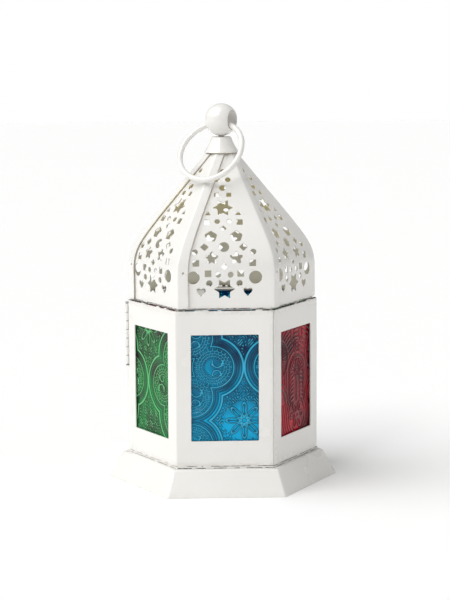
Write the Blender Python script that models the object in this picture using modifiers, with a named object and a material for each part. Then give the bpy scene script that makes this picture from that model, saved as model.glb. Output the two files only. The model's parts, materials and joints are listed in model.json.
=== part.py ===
"""A small hexagonal candle lantern of enamelled sheet metal with coloured glass panes.

The frame has +Z up and its origin under the middle of the base. The front face looks along -Y and two of the
hexagon's corners lie on the X axis. Faces are numbered round from the front, anticlockwise seen from above.
"""

import math

import bmesh
import bpy
from mathutils import Matrix, Vector, geometry

MM = 0.001
SIN60 = math.sin(math.radians(60))

# Driving dimensions. "Flats" is the width between two opposite flat sides of a hexagon.
GAP = 0.3 * MM
SHEET = 0.5 * MM

BASE_LEDGE_SHOW = 2.2 * MM
BASE_FLARE = 5.5 * MM
BASE_HEIGHT = 11.4 * MM
BASE_HEM = 3.6 * MM
BASE_LEDGE_WIDTH = 8.0 * MM
BASE_SHEET = 0.6 * MM
BASE_HEM_BEND = 0.35 * MM

BODY_FLATS = 74.0 * MM
WALL_HEIGHT = 68.2 * MM
WALL_FLANGE = 3.0 * MM
WINDOW_SIDE = 6.65 * MM
WINDOW_SILL = 11.0 * MM
WINDOW_HEAD = 10.4 * MM

PANE_THICKNESS = 2.0 * MM
PANE_LAP = 1.8 * MM
PANE_HEAD_LAP = 9.2 * MM
TAB_WIDTH = 4.0 * MM
TAB_LAP = 2.2 * MM
TAB_FROM_CORNER = 5.5 * MM
SIDE_TAB_DROP = 11.0 * MM

TEALIGHT_DIAMETER = 38.0 * MM
CUP_CLEARANCE = 1.0 * MM
CUP_HEIGHT = 5.5 * MM
CUP_FLOOR_RADIUS_TRIM = 1.2 * MM

HINGE_LENGTH = 27.5 * MM
HINGE_TOP_MARGIN = 1.6 * MM
HINGE_KNUCKLES = 7
KNUCKLE_RADIUS = 1.0 * MM
KNUCKLE_BORE_RADIUS = 0.6 * MM
PIN_RADIUS = 0.4 * MM
PIN_HEAD_RADIUS = 0.85 * MM
PIN_HEAD_HEIGHT = 0.4 * MM
LEAF_START = 1.7 * MM
LEAF_END = 4.2 * MM
FINGER_ROOT = 0.1 * MM
DOOR_EDGE_SETBACK = 0.5 * MM

LATCH_EDGE_DISTANCE = 3.0 * MM
LATCH_EYE_RADIUS = 2.3 * MM
LATCH_REACH = 6.0 * MM
LATCH_TIP_RADIUS = 1.3 * MM
LATCH_THICKNESS = 0.6 * MM
RIVET_RADIUS = 0.8 * MM
RIVET_HEAD_RADIUS = 1.5 * MM
RIVET_TAIL_RADIUS = 1.3 * MM
RIVET_HEAD_HEIGHT = 0.6 * MM
RIVET_CROWN_RADIUS = 1.05 * MM

TOP_RING_INSET = 0.7 * MM
TOP_RING_WIDTH = 5.0 * MM

ROOF_INSET = 1.1 * MM
ROOF_HEIGHT = 64.4 * MM
ROOF_BAND = 12.6 * MM
ROOF_SHOULDER = 12.4 * MM
ROOF_NECK_PULL = 50.0 * MM
ROOF_NECK_ANGLE = 50.8
ROOF_STATIONS = 9
PETAL_FLANGE_EAVE = 5.2 * MM
PETAL_FLANGE_NECK = 4.3 * MM
PIN_HOLE_RADIUS = 0.5 * MM
PIN_HOLE_HEIGHT = 0.21
PIN_HOLE_INSET = 2.9 * MM

CAP_LOWER_RADIUS = 7.7 * MM
CAP_COVER = 1.0 * MM
CAP_UPPER_RADIUS = 4.2 * MM
CAP_HEIGHT = 7.0 * MM

BALL_RADIUS = 7.2 * MM
BALL_HOLE_RADIUS = 4.4 * MM
STUD_RADIUS = 1.2 * MM
STUD_IN_BALL = 1.6 * MM
STUD_LENGTH = 5.2 * MM
NUT_FLATS = 5.0 * MM
NUT_HEIGHT = 1.8 * MM

RING_RADIUS = 14.8 * MM
RING_WIRE_RADIUS = 1.25 * MM
RING_TURN = -30.0

STAR_INNER_SHARE = 0.58

# Perforations of one roof petal: shape, radius, distance either side of the middle, height along the sheet.
# Radius and distance are shares of half the petal's width at the eave, and height is one of its length.
PERFORATIONS = (
    ("heart", 0.097, 0.487, 0.098),
    ("star", 0.227, 0.000, 0.114),
    ("round", 0.065, 0.314, 0.148),
    ("round", 0.135, 0.647, 0.182),
    ("round", 0.060, 0.130, 0.198),
    ("square", 0.097, 0.338, 0.205),
    ("diamond", 0.077, 0.000, 0.245),
    ("square", 0.097, 0.589, 0.267),
    ("flower", 0.140, 0.256, 0.297),
    ("round", 0.063, 0.608, 0.334),
    ("diamond", 0.092, 0.405, 0.365),
    ("round", 0.111, 0.000, 0.365),
    ("pentagon", 0.140, 0.265, 0.434),
    ("diamond", 0.072, 0.000, 0.487),
    ("square", 0.092, 0.343, 0.529),
    ("round", 0.058, 0.125, 0.534),
    ("triangle", 0.072, 0.319, 0.587),
    ("star", 0.217, 0.000, 0.628),
    ("square", 0.072, 0.130, 0.717),
    ("round", 0.072, 0.000, 0.765),
    ("round", 0.058, 0.116, 0.822),
    ("round", 0.053, 0.000, 0.880),
)

FACES = ("front", "front_right", "back_right", "back", "back_left", "front_left")
DOOR_FACE = 4
HINGE_CORNER_FACE = 5
LATCH_FACE = 3

# Sizes and heights that follow from those above.
BODY_APOTHEM = BODY_FLATS / 2
BODY_SIDE = BODY_APOTHEM / SIN60
WINDOW_WIDTH = BODY_SIDE - 2 * WINDOW_SIDE
WINDOW_HEIGHT = WALL_HEIGHT - WINDOW_SILL - WINDOW_HEAD
LEDGE_CORNER = (BODY_APOTHEM + BASE_LEDGE_SHOW) / SIN60
BASE_CORNER = LEDGE_CORNER + BASE_FLARE / SIN60
ROOF_SIDE = (BODY_APOTHEM - ROOF_INSET) / SIN60
NECK_SIDE = CAP_LOWER_RADIUS - CAP_COVER
PANE_OUTER_APOTHEM = BODY_APOTHEM - SHEET - GAP

FLOOR_BOTTOM = BASE_HEIGHT + GAP
FLOOR_TOP = FLOOR_BOTTOM + SHEET
WALL_BOTTOM = FLOOR_TOP + GAP
WALL_TOP = WALL_BOTTOM + WALL_HEIGHT
SILL = WALL_BOTTOM + WINDOW_SILL
WINDOW_MIDDLE = SILL + WINDOW_HEIGHT / 2
HINGE_TOP = WALL_TOP - HINGE_TOP_MARGIN
HINGE_BOTTOM = HINGE_TOP - HINGE_LENGTH
TOP_RING_BOTTOM = WALL_TOP + GAP
EAVE = TOP_RING_BOTTOM + SHEET + GAP
ROOF_TOP = EAVE + ROOF_HEIGHT
CAP_BOTTOM = ROOF_TOP + GAP
CAP_TOP = CAP_BOTTOM + CAP_HEIGHT
BALL_CENTRE = CAP_TOP + GAP + BALL_RADIUS


for leftover in list(bpy.data.objects):
    bpy.data.objects.remove(leftover, do_unlink=True)

lantern = bpy.data.collections.new("candle_lantern")
cutters = bpy.data.collections.new("cutters")
bpy.context.scene.collection.children.link(lantern)
bpy.context.scene.collection.children.link(cutters)


def material(name, colour, roughness, metallic=0.0, transmission=0.0):
    made = bpy.data.materials.new(name)
    made.use_nodes = True
    shader = made.node_tree.nodes["Principled BSDF"]
    shader.inputs["Base Color"].default_value = (*colour, 1.0)
    shader.inputs["Roughness"].default_value = roughness
    shader.inputs["Metallic"].default_value = metallic
    shader.inputs["Transmission Weight"].default_value = transmission
    return made


ENAMEL = (0.80, 0.79, 0.76)
GLASS = {
    "blue": material("blue_glass", (0.02, 0.27, 0.62), 0.08, transmission=0.7),
    "red": material("red_glass", (0.42, 0.01, 0.04), 0.08, transmission=0.7),
    "green": material("green_glass", (0.02, 0.25, 0.10), 0.08, transmission=0.7),
}
PANE_COLOURS = ("blue", "red", "green", "blue", "red", "green")


def add(name, mesh, surface=None, turn=0.0):
    """Puts a mesh in the lantern, or among the cutters when it has no surface, turned about +Z in degrees."""
    made = bpy.data.objects.new(name, mesh)
    made.rotation_euler.z = math.radians(turn)
    if surface is None:
        cutters.objects.link(made)
        made.hide_render = True
        made.display_type = "WIRE"
    else:
        lantern.objects.link(made)
        mesh.materials.clear()
        mesh.materials.append(surface)
    return made


def mesh_of(shape, name):
    """Ends a bmesh as a named mesh with its faces pointing out."""
    bmesh.ops.recalc_face_normals(shape, faces=shape.faces)
    mesh = bpy.data.meshes.new(name)
    shape.to_mesh(mesh)
    shape.free()
    return mesh


def follow(child, parent):
    """Parents an object without moving it."""
    bpy.context.view_layer.update()
    child.parent = parent
    child.matrix_parent_inverse = parent.matrix_world.inverted()


def joint_axis(name, place, *children):
    """An empty on a joint's axis that carries the pieces which move with it."""
    empty = bpy.data.objects.new(name, None)
    empty.matrix_world = place
    empty.empty_display_size = 5 * MM
    lantern.objects.link(empty)
    for child in children:
        follow(child, empty)


def boolean(target, other, operation):
    follow(other, target)
    step = target.modifiers.new(operation.lower(), "BOOLEAN")
    step.operation = operation
    step.solver = "EXACT"
    step.object = other


def box(shape, low, high):
    """Adds a box between two corners to a bmesh."""
    low, high = Vector(low), Vector(high)
    place = Matrix.LocRotScale((low + high) / 2, None, high - low)
    bmesh.ops.create_cube(shape, size=1.0, matrix=place)


def cylinder(shape, radius, bottom, top, sides, at=(0.0, 0.0)):
    """Adds an upright cylinder to a bmesh."""
    bmesh.ops.create_cone(
        shape,
        cap_ends=True,
        segments=sides,
        radius1=radius,
        radius2=radius,
        depth=top - bottom,
        matrix=Matrix.Translation((*at, (bottom + top) / 2)),
    )


def axes(origin, x_axis, y_axis):
    """The place whose X and Y axes run along two given directions."""
    frame = Matrix((x_axis, y_axis, x_axis.cross(y_axis))).transposed().to_4x4()
    return Matrix.Translation(origin) @ frame


def prism(shape, outline, low, high, place):
    """Adds an outline in the place's XY plane, carried from one height to another along its Z."""
    bottom = [shape.verts.new(place @ Vector((x, y, low))) for x, y in outline]
    top = [shape.verts.new(place @ Vector((x, y, high))) for x, y in outline]
    shape.faces.new(reversed(bottom))
    shape.faces.new(top)
    for i in range(len(outline)):
        j = (i + 1) % len(outline)
        shape.faces.new((bottom[i], bottom[j], top[j], top[i]))


def turned(name, profile, surface, steps):
    """A closed profile of (radius, height) points turned about +Z. Six steps give a hexagon, corners on X."""
    mesh = bpy.data.meshes.new(name)
    count = len(profile)
    edges = [(i, (i + 1) % count) for i in range(count)]
    mesh.from_pydata([(radius, 0, height) for radius, height in profile], edges, [])
    made = add(name, mesh, surface)
    screw = made.modifiers.new("turn", "SCREW")
    screw.steps = steps
    screw.render_steps = steps
    screw.use_smooth_shade = steps > 6
    screw.use_merge_vertices = True
    screw.merge_threshold = 0.00001
    return made


def sheet(name, rows, surface, turn):
    """A bent sheet: rows of points from left to right, bottom row first, thickened inwards."""
    shape = bmesh.new()
    grid = [[shape.verts.new(point) for point in row] for row in rows]
    for lower, upper in zip(grid, grid[1:]):
        for i in range(len(lower) - 1):
            shape.faces.new((lower[i], lower[i + 1], upper[i + 1], upper[i]))
    mesh = bpy.data.meshes.new(name)
    shape.to_mesh(mesh)
    shape.free()
    made = add(name, mesh, surface, turn)
    solidify = made.modifiers.new("thickness", "SOLIDIFY")
    solidify.thickness = SHEET
    solidify.offset = -1.0
    solidify.use_even_offset = True
    solidify.use_quality_normals = True
    return made


def regular(sides, radius, first=90.0):
    step = 360.0 / sides
    angles = [math.radians(first + step * i) for i in range(sides)]
    return [(radius * math.cos(a), radius * math.sin(a)) for a in angles]


def star(radius):
    """A six-pointed star with two points level with its middle."""
    outer, inner = regular(6, radius, 0.0), regular(6, radius * STAR_INNER_SHARE, 30.0)
    return [point for pair in zip(outer, inner) for point in pair]


def heart(radius):
    """A spade leaf with its point down and two round lobes."""
    side = [(0.0, 0.55), (0.45, 0.85), (0.85, 0.7), (0.95, 0.25), (0.55, -0.4)]
    left = [(-x, y) for x, y in reversed(side[1:])]
    return [(x * radius, y * radius) for x, y in [*left, *side, (0.0, -1.0)]]


def flower(radius):
    """Five round petals, as three points to a petal."""
    points = []
    for petal in range(5):
        middle = 90.0 + 72.0 * petal
        for swing, reach in ((-20.0, 0.96), (20.0, 0.96), (36.0, 0.66)):
            angle = math.radians(middle + swing)
            far = radius * reach
            points.append((far * math.cos(angle), far * math.sin(angle)))
    return points


OUTLINES = {
    "round": lambda radius: regular(8, radius, 22.5),
    "square": lambda radius: regular(4, radius, 45.0),
    "diamond": lambda radius: regular(4, radius, 0.0),
    "triangle": lambda radius: regular(3, radius),
    "pentagon": lambda radius: regular(5, radius),
    "star": star,
    "heart": heart,
    "flower": flower,
}


def base_and_floor(enamel, steel):
    """The flared skirt with its hem and ledge, the floor on the ledge and the cup for the candle."""
    thick = BASE_SHEET / SIN60
    hem = BASE_CORNER - BASE_HEM / SIN60
    ledge_edge = LEDGE_CORNER - BASE_LEDGE_WIDTH / SIN60
    turned(
        "base_skirt",
        [
            (ledge_edge, BASE_HEIGHT),
            (LEDGE_CORNER, BASE_HEIGHT),
            (BASE_CORNER, 0.0),
            (hem, 0.0),
            (hem, BASE_SHEET),
            (BASE_CORNER - thick - BASE_HEM_BEND, BASE_SHEET),
            (LEDGE_CORNER - thick, BASE_HEIGHT - BASE_SHEET),
            (ledge_edge, BASE_HEIGHT - BASE_SHEET),
        ],
        enamel,
        6,
    )

    floor = bmesh.new()
    cylinder(floor, BODY_SIDE, FLOOR_BOTTOM, FLOOR_TOP, sides=6)
    corners_on_x = Matrix.Rotation(math.radians(30), 3, "Z")
    bmesh.ops.rotate(floor, cent=(0, 0, 0), matrix=corners_on_x, verts=floor.verts)
    add("floor_plate", mesh_of(floor, "floor_plate"), enamel)

    inner = TEALIGHT_DIAMETER / 2 + CUP_CLEARANCE
    outer = inner + SHEET
    bottom = FLOOR_TOP + GAP
    turned(
        "candle_cup",
        [
            (0.0, bottom + SHEET),
            (inner - CUP_FLOOR_RADIUS_TRIM, bottom + SHEET),
            (inner, bottom + SHEET + CUP_FLOOR_RADIUS_TRIM),
            (inner, bottom + CUP_HEIGHT),
            (outer, bottom + CUP_HEIGHT),
            (outer, bottom + CUP_FLOOR_RADIUS_TRIM),
            (outer - CUP_FLOOR_RADIUS_TRIM, bottom),
            (0.0, bottom),
        ],
        steel,
        28,
    )


def wall_section(left_flange, right_flange):
    """The outer line of a wall sheet, seen from above, from its left end to its right end."""
    half = BODY_SIDE / 2
    points = []
    for side, flanged in ((-1, left_flange), (1, right_flange)):
        if flanged:
            corner = Vector((side * (half - GAP / 2 / SIN60), -BODY_APOTHEM))
            tip = corner + Vector((-side * 0.5, SIN60)) * WALL_FLANGE
            pair = [corner, tip]
        else:
            pair = [Vector((side * (half - DOOR_EDGE_SETBACK), -BODY_APOTHEM))]
        points += pair if side > 0 else reversed(pair)
    return points


def pane_tabs(name, turn):
    """The bent tabs that hold a pane: two above, two below and one at each side."""
    root = SHEET / 2
    fold = SHEET + GAP + PANE_THICKNESS + GAP
    hook = [
        (GAP, root),
        (GAP + SHEET, root),
        (GAP + SHEET, fold + SHEET),
        (-TAB_LAP, fold + SHEET),
        (-TAB_LAP, fold),
        (GAP, fold),
    ]
    across = WINDOW_WIDTH / 2 + PANE_LAP
    shape = bmesh.new()
    inwards = Vector((0, 1, 0))
    for side, lap in ((-1, PANE_LAP), (1, PANE_HEAD_LAP)):
        up = WINDOW_HEIGHT / 2 + lap
        for x in (TAB_FROM_CORNER - WINDOW_WIDTH / 2, WINDOW_WIDTH / 2 - TAB_FROM_CORNER):
            edge = Vector((x, -BODY_APOTHEM, WINDOW_MIDDLE + side * up))
            place = axes(edge, Vector((0, 0, side)), inwards)
            prism(shape, hook, -TAB_WIDTH / 2, TAB_WIDTH / 2, place)
        edge = Vector((side * across, -BODY_APOTHEM, WINDOW_MIDDLE - SIDE_TAB_DROP))
        place = axes(edge, Vector((side, 0, 0)), inwards)
        prism(shape, hook, -TAB_WIDTH / 2, TAB_WIDTH / 2, place)
    return add(name, mesh_of(shape, name), turn=turn)


def wall(face, enamel):
    """One side of the body: a sheet with a window, side flanges and the tabs of its pane."""
    turn = 60.0 * face
    is_door = face == DOOR_FACE
    name = "door_panel" if is_door else "panel_" + FACES[face]
    section = wall_section(left_flange=face != HINGE_CORNER_FACE, right_flange=not is_door)
    rows = [[(*point, height) for point in section] for height in (WALL_BOTTOM, WALL_TOP)]
    panel = sheet(name, rows, enamel, turn)

    window = bmesh.new()
    box(
        window,
        (-WINDOW_WIDTH / 2, -BODY_APOTHEM - SHEET, SILL),
        (WINDOW_WIDTH / 2, -BODY_APOTHEM + 2 * SHEET, SILL + WINDOW_HEIGHT),
    )
    boolean(panel, add("window_cutter_" + name, mesh_of(window, name), turn=turn), "DIFFERENCE")
    boolean(panel, pane_tabs("pane_tabs_" + name, turn), "UNION")

    if is_door or face == HINGE_CORNER_FACE:
        side = 1 if is_door else -1
        clear = KNUCKLE_RADIUS + GAP
        xs = sorted((side * (BODY_SIDE / 2 - clear), side * (BODY_SIDE / 2 + clear)))
        notch = bmesh.new()
        box(
            notch,
            (xs[0], -BODY_APOTHEM - clear, HINGE_BOTTOM - PIN_HEAD_HEIGHT - 2 * GAP),
            (xs[1], -BODY_APOTHEM + clear, HINGE_TOP + PIN_HEAD_HEIGHT + 2 * GAP),
        )
        boolean(panel, add("hinge_notch_" + name, mesh_of(notch, name), turn=turn), "DIFFERENCE")
    if face == LATCH_FACE:
        hole = bmesh.new()
        bmesh.ops.create_cone(
            hole,
            cap_ends=True,
            segments=16,
            radius1=RIVET_RADIUS + GAP,
            radius2=RIVET_RADIUS + GAP,
            depth=4 * SHEET,
            matrix=Matrix.Translation(latch_pivot()) @ Matrix.Rotation(math.radians(90), 4, "X"),
        )
        boolean(panel, add("rivet_hole", mesh_of(hole, "rivet_hole"), turn=turn), "DIFFERENCE")
    return panel


def pane(face):
    """A flat pressed-glass pane behind its window."""
    name = "pane_door" if face == DOOR_FACE else "pane_" + FACES[face]
    shape = bmesh.new()
    half = WINDOW_WIDTH / 2 + PANE_LAP
    inner = PANE_OUTER_APOTHEM - PANE_THICKNESS
    box(
        shape,
        (-half, -PANE_OUTER_APOTHEM, SILL - PANE_LAP),
        (half, -inner, SILL + WINDOW_HEIGHT + PANE_HEAD_LAP),
    )
    return add(name, mesh_of(shape, name), GLASS[PANE_COLOURS[face]], turn=60.0 * face)


def hinge_leaf(name, side, turn, first_knuckle, surface):
    """A strip behind the wall sheet with every second knuckle on the corner, in the front face's place."""
    pitch = HINGE_LENGTH / HINGE_KNUCKLES
    corner = side * BODY_SIDE / 2
    outer = -(BODY_APOTHEM - SHEET - GAP)
    inner = outer + SHEET

    def strip(shape, start, end, bottom, top):
        xs = sorted((corner - side * start, corner - side * end))
        box(shape, (xs[0], outer, bottom), (xs[1], inner, top))

    leaf = bmesh.new()
    strip(leaf, LEAF_START, LEAF_END, HINGE_BOTTOM, HINGE_TOP)
    made = add(name, mesh_of(leaf, name), surface, turn)
    at = (corner, -BODY_APOTHEM)
    bore = bmesh.new()
    cylinder(bore, KNUCKLE_BORE_RADIUS, HINGE_BOTTOM - GAP, HINGE_TOP + GAP, sides=12, at=at)
    for number in range(first_knuckle, HINGE_KNUCKLES, 2):
        bottom = HINGE_BOTTOM + pitch * number + GAP / 2
        top = bottom + pitch - GAP
        barrel = bmesh.new()
        cylinder(barrel, KNUCKLE_RADIUS, bottom, top, sides=12, at=at)
        boolean(made, add(f"{name}_barrel_{number}", mesh_of(barrel, name), turn=turn), "UNION")
        finger = bmesh.new()
        strip(finger, FINGER_ROOT, LEAF_START + SHEET, bottom, top)
        boolean(made, add(f"{name}_finger_{number}", mesh_of(finger, name), turn=turn), "UNION")
    boolean(made, add(name + "_bore", mesh_of(bore, name), turn=turn), "DIFFERENCE")
    return made


def hinge_pin(steel):
    """The pin through all the knuckles, with a head at each end."""
    low, high = HINGE_BOTTOM - GAP, HINGE_TOP + GAP
    profile = [
        (0.0, high + PIN_HEAD_HEIGHT),
        (PIN_HEAD_RADIUS, high + PIN_HEAD_HEIGHT),
        (PIN_HEAD_RADIUS, high),
        (PIN_RADIUS, high),
        (PIN_RADIUS, low),
        (PIN_HEAD_RADIUS, low),
        (PIN_HEAD_RADIUS, low - PIN_HEAD_HEIGHT),
        (0.0, low - PIN_HEAD_HEIGHT),
    ]
    turned("hinge_pin", profile, steel, 12).location.x = -BODY_SIDE


def arc(radius, first, last, steps):
    angles = [first + (last - first) * i / steps for i in range(steps + 1)]
    return [(radius * math.cos(angle), radius * math.sin(angle)) for angle in angles]


def latch_pivot():
    """The latch's pivot on the outside of its wall, in the front face's place."""
    return Vector((BODY_SIDE / 2 - LATCH_EDGE_DISTANCE, -BODY_APOTHEM, WINDOW_MIDDLE))


def latch(enamel, steel):
    """A teardrop tab that hangs from a rivet beside the door's free edge."""
    turn = 60.0 * LATCH_FACE
    pivot = latch_pivot()
    upright = Matrix.Translation(pivot) @ Matrix.Rotation(math.radians(90), 4, "X")
    spread = math.acos((LATCH_EYE_RADIUS - LATCH_TIP_RADIUS) / LATCH_REACH)
    down = -math.pi / 2
    eye_end = arc(LATCH_EYE_RADIUS, down + spread, down + 2 * math.pi - spread, 12)
    tip_end = arc(LATCH_TIP_RADIUS, down - spread, down + spread, 6)
    points = eye_end + [(x, y - LATCH_REACH) for x, y in tip_end]
    outer = bmesh.new()
    prism(outer, points, GAP, GAP + LATCH_THICKNESS, upright)
    tab = add("latch_tab", mesh_of(outer, "latch_tab"), enamel, turn)
    eye = bmesh.new()
    prism(eye, regular(16, RIVET_RADIUS + GAP), 0.0, 4 * LATCH_THICKNESS, upright)
    boolean(tab, add("latch_eye", mesh_of(eye, "latch_eye"), turn=turn), "DIFFERENCE")

    head = 2 * GAP + LATCH_THICKNESS
    tail = -SHEET - GAP
    rivet = turned(
        "latch_rivet",
        [
            (0.0, head + RIVET_HEAD_HEIGHT),
            (RIVET_CROWN_RADIUS, head + RIVET_HEAD_HEIGHT),
            (RIVET_HEAD_RADIUS, head),
            (RIVET_RADIUS, head),
            (RIVET_RADIUS, tail),
            (RIVET_TAIL_RADIUS, tail),
            (RIVET_TAIL_RADIUS, tail - SHEET),
            (0.0, tail - SHEET),
        ],
        steel,
        16,
    )
    rivet.matrix_world = Matrix.Rotation(math.radians(turn), 4, "Z") @ upright
    joint_axis("latch_pivot", rivet.matrix_world, tab)


def top_ring(enamel):
    """The flat hexagonal ring that ties the walls together and carries the roof."""
    outer = ROOF_SIDE - TOP_RING_INSET
    inner = outer - TOP_RING_WIDTH / SIN60
    low, high = TOP_RING_BOTTOM, TOP_RING_BOTTOM + SHEET
    turned("top_ring", [(inner, high), (outer, high), (outer, low), (inner, low)], enamel, 6)


def roof_line(count):
    """Corner radius and height up the roof: an upright band, then a shoulder that runs in to the neck."""
    angle = math.radians(ROOF_NECK_ANGLE)
    pull = Vector((math.cos(angle), -math.sin(angle))) * ROOF_NECK_PULL
    band_top = Vector((ROOF_SIDE, EAVE + ROOF_BAND))
    neck = Vector((NECK_SIDE, ROOF_TOP))
    curve = geometry.interpolate_bezier(
        band_top, band_top + Vector((0, ROOF_SHOULDER)), neck + pull, neck, count
    )
    return [Vector((ROOF_SIDE, EAVE))] + [Vector(point[:2]) for point in curve]


def petal_lift(line, i):
    """How far out, level, the petals' flanges stand from the petals they cover, at one point of the line."""
    ahead, behind = line[min(i + 1, len(line) - 1)], line[max(i - 1, 0)]
    step = Vector(((ahead.x - behind.x) * SIN60, ahead.y - behind.y)).normalized()
    return (SHEET + GAP) / step.y


def roof_place(share):
    """The middle of a petal at a share of its length, with X across, Y up the sheet and Z out of it."""
    line = [Vector((radius * SIN60, z)) for radius, z in roof_line(120)]
    height = share * sum((above - below).length for below, above in zip(line, line[1:]))
    for below, above in zip(line, line[1:]):
        run = (above - below).length
        if height <= run:
            break
        height -= run
    point = below + (above - below) * (height / run)
    up = (above - below).normalized()
    middle = Vector((0, -point.x, point.y))
    return axes(middle, Vector((1, 0, 0)), Vector((0, -up.x, up.y))), point.x / SIN60


def petal(face, enamel):
    """One roof petal: its right edge is wrapped round the corner and lies over the next petal."""
    turn = 60.0 * face
    line = roof_line(ROOF_STATIONS)
    rows = []
    for i, (radius, height) in enumerate(line):
        lift = petal_lift(line, i)
        apothem = radius * SIN60
        share = (height - EAVE) / ROOF_HEIGHT
        flange = PETAL_FLANGE_EAVE + (PETAL_FLANGE_NECK - PETAL_FLANGE_EAVE) * share
        edge = Vector((flange - radius / 2, -apothem - lift))
        edge.rotate(Matrix.Rotation(math.radians(60), 2))
        rows.append(
            [
                (lift / SIN60 - radius / 2, -apothem, height),
                (lift / SIN60 + radius / 2, -apothem, height),
                (*edge, height),
            ]
        )
    made = sheet("roof_petal_" + FACES[face], rows, enamel, turn)

    holes = bmesh.new()
    half = ROOF_SIDE / 2
    for kind, radius, offset, height in PERFORATIONS:
        place, _ = roof_place(height)
        for side in (-1, 1) if offset else (1,):
            outline = [(x + side * offset * half, y) for x, y in OUTLINES[kind](radius * half)]
            prism(holes, outline, -3 * SHEET, 3 * SHEET, place)
    place, radius = roof_place(PIN_HOLE_HEIGHT)
    pin_hole = [(x + PIN_HOLE_INSET - radius / 2, y) for x, y in regular(8, PIN_HOLE_RADIUS)]
    prism(holes, pin_hole, -3 * SHEET, 3 * SHEET, place)
    next_petal = Matrix.Rotation(math.radians(60), 4, "Z") @ place
    prism(holes, pin_hole, -3 * SHEET, 5 * SHEET, next_petal)
    cutter = add("perforations_" + FACES[face], mesh_of(holes, "perforations"), turn=turn)
    boolean(made, cutter, "DIFFERENCE")


def neck_and_finial(enamel, steel):
    """The cone over the petals' ends, and the drilled ball held on it by a stud and a nut."""
    slope = (CAP_LOWER_RADIUS - CAP_UPPER_RADIUS) / CAP_HEIGHT
    wall_across = SHEET * math.hypot(1, slope)
    hole = STUD_RADIUS + GAP
    turned(
        "neck_cap",
        [
            (hole, CAP_TOP),
            (CAP_UPPER_RADIUS, CAP_TOP),
            (CAP_LOWER_RADIUS, CAP_BOTTOM),
            (CAP_LOWER_RADIUS - wall_across, CAP_BOTTOM),
            (CAP_UPPER_RADIUS - wall_across + slope * SHEET, CAP_TOP - SHEET),
            (hole, CAP_TOP - SHEET),
        ],
        enamel,
        24,
    )

    centre = Matrix.Translation((0, 0, BALL_CENTRE))
    ball = bmesh.new()
    bmesh.ops.create_uvsphere(
        ball, u_segments=24, v_segments=14, radius=BALL_RADIUS, matrix=centre
    )
    mesh = mesh_of(ball, "finial_ball")
    mesh.shade_smooth()
    finial = add("finial_ball", mesh, enamel)
    eye = bmesh.new()
    across = Matrix.Rotation(math.radians(RING_TURN), 4, "Z")
    along = centre @ across @ Matrix.Rotation(math.radians(90), 4, "Y")
    prism(eye, regular(20, BALL_HOLE_RADIUS), -2 * BALL_RADIUS, 2 * BALL_RADIUS, along)
    boolean(finial, add("ball_eye", mesh_of(eye, "ball_eye")), "DIFFERENCE")
    ball_bottom = BALL_CENTRE - BALL_RADIUS
    stud_top = ball_bottom + STUD_IN_BALL
    socket = bmesh.new()
    cylinder(socket, STUD_RADIUS + GAP, ball_bottom - STUD_IN_BALL, stud_top + GAP, sides=16)
    boolean(finial, add("stud_socket", mesh_of(socket, "stud_socket")), "DIFFERENCE")

    stud = bmesh.new()
    cylinder(stud, STUD_RADIUS, stud_top - STUD_LENGTH, stud_top, sides=16)
    add("finial_stud", mesh_of(stud, "finial_stud"), steel)
    nut = bmesh.new()
    nut_top = CAP_TOP - SHEET - GAP
    cylinder(nut, NUT_FLATS / 2 / SIN60, nut_top - NUT_HEIGHT, nut_top, sides=6)
    made = add("finial_nut", mesh_of(nut, "finial_nut"), steel)
    thread = bmesh.new()
    cylinder(thread, STUD_RADIUS + GAP, nut_top - 2 * NUT_HEIGHT, nut_top + NUT_HEIGHT, sides=16)
    boolean(made, add("nut_thread", mesh_of(thread, "nut_thread")), "DIFFERENCE")


def ring_lean(reach):
    """The angle from straight down at which the ring's far side meets the roof's front left rib."""
    line = roof_line(200)
    rib = [Vector((point.x + petal_lift(line, i) / SIN60, point.y)) for i, point in enumerate(line)]

    def clearance(degrees):
        angle = math.radians(degrees)
        wire = Vector((reach * math.sin(angle), BALL_CENTRE - reach * math.cos(angle)))
        return min((wire - point).length for point in rib) - RING_WIRE_RADIUS

    lean = 90.0
    while clearance(lean - 0.1) > GAP:
        lean -= 0.1
    return lean


def hanging_ring(enamel):
    """The wire ring through the ball, leaning on the roof. Its origin is the middle of the ball's hole."""
    mouth = math.sqrt(BALL_RADIUS**2 - BALL_HOLE_RADIUS**2)
    sag = RING_RADIUS - math.sqrt(RING_RADIUS**2 - mouth**2)
    drop = BALL_HOLE_RADIUS - RING_WIRE_RADIUS - GAP - sag
    bpy.ops.mesh.primitive_torus_add(
        major_radius=RING_RADIUS,
        minor_radius=RING_WIRE_RADIUS,
        major_segments=36,
        minor_segments=8,
    )
    ring = bpy.context.object
    ring.name = ring.data.name = "hanging_ring"
    for collection in ring.users_collection:
        collection.objects.unlink(ring)
    lantern.objects.link(ring)
    ring.data.materials.append(enamel)
    ring.data.shade_smooth()
    upright = Matrix.Rotation(math.radians(90), 4, "X")
    ring.data.transform(Matrix.Translation((0, 0, -drop - RING_RADIUS)) @ upright)
    lean = ring_lean(drop + 2 * RING_RADIUS)
    across = Matrix.Rotation(math.radians(RING_TURN), 4, "Z")
    leaning = Matrix.Rotation(math.radians(-lean), 4, "X")
    ring.matrix_world = Matrix.Translation((0, 0, BALL_CENTRE)) @ across @ leaning


enamel_paint = material("white_enamel", ENAMEL, 0.25)
bare_steel = material("bare_steel", (0.55, 0.55, 0.53), 0.35, metallic=1.0)
tinplate = material("tinplate", (0.72, 0.72, 0.70), 0.3, metallic=1.0)

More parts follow.
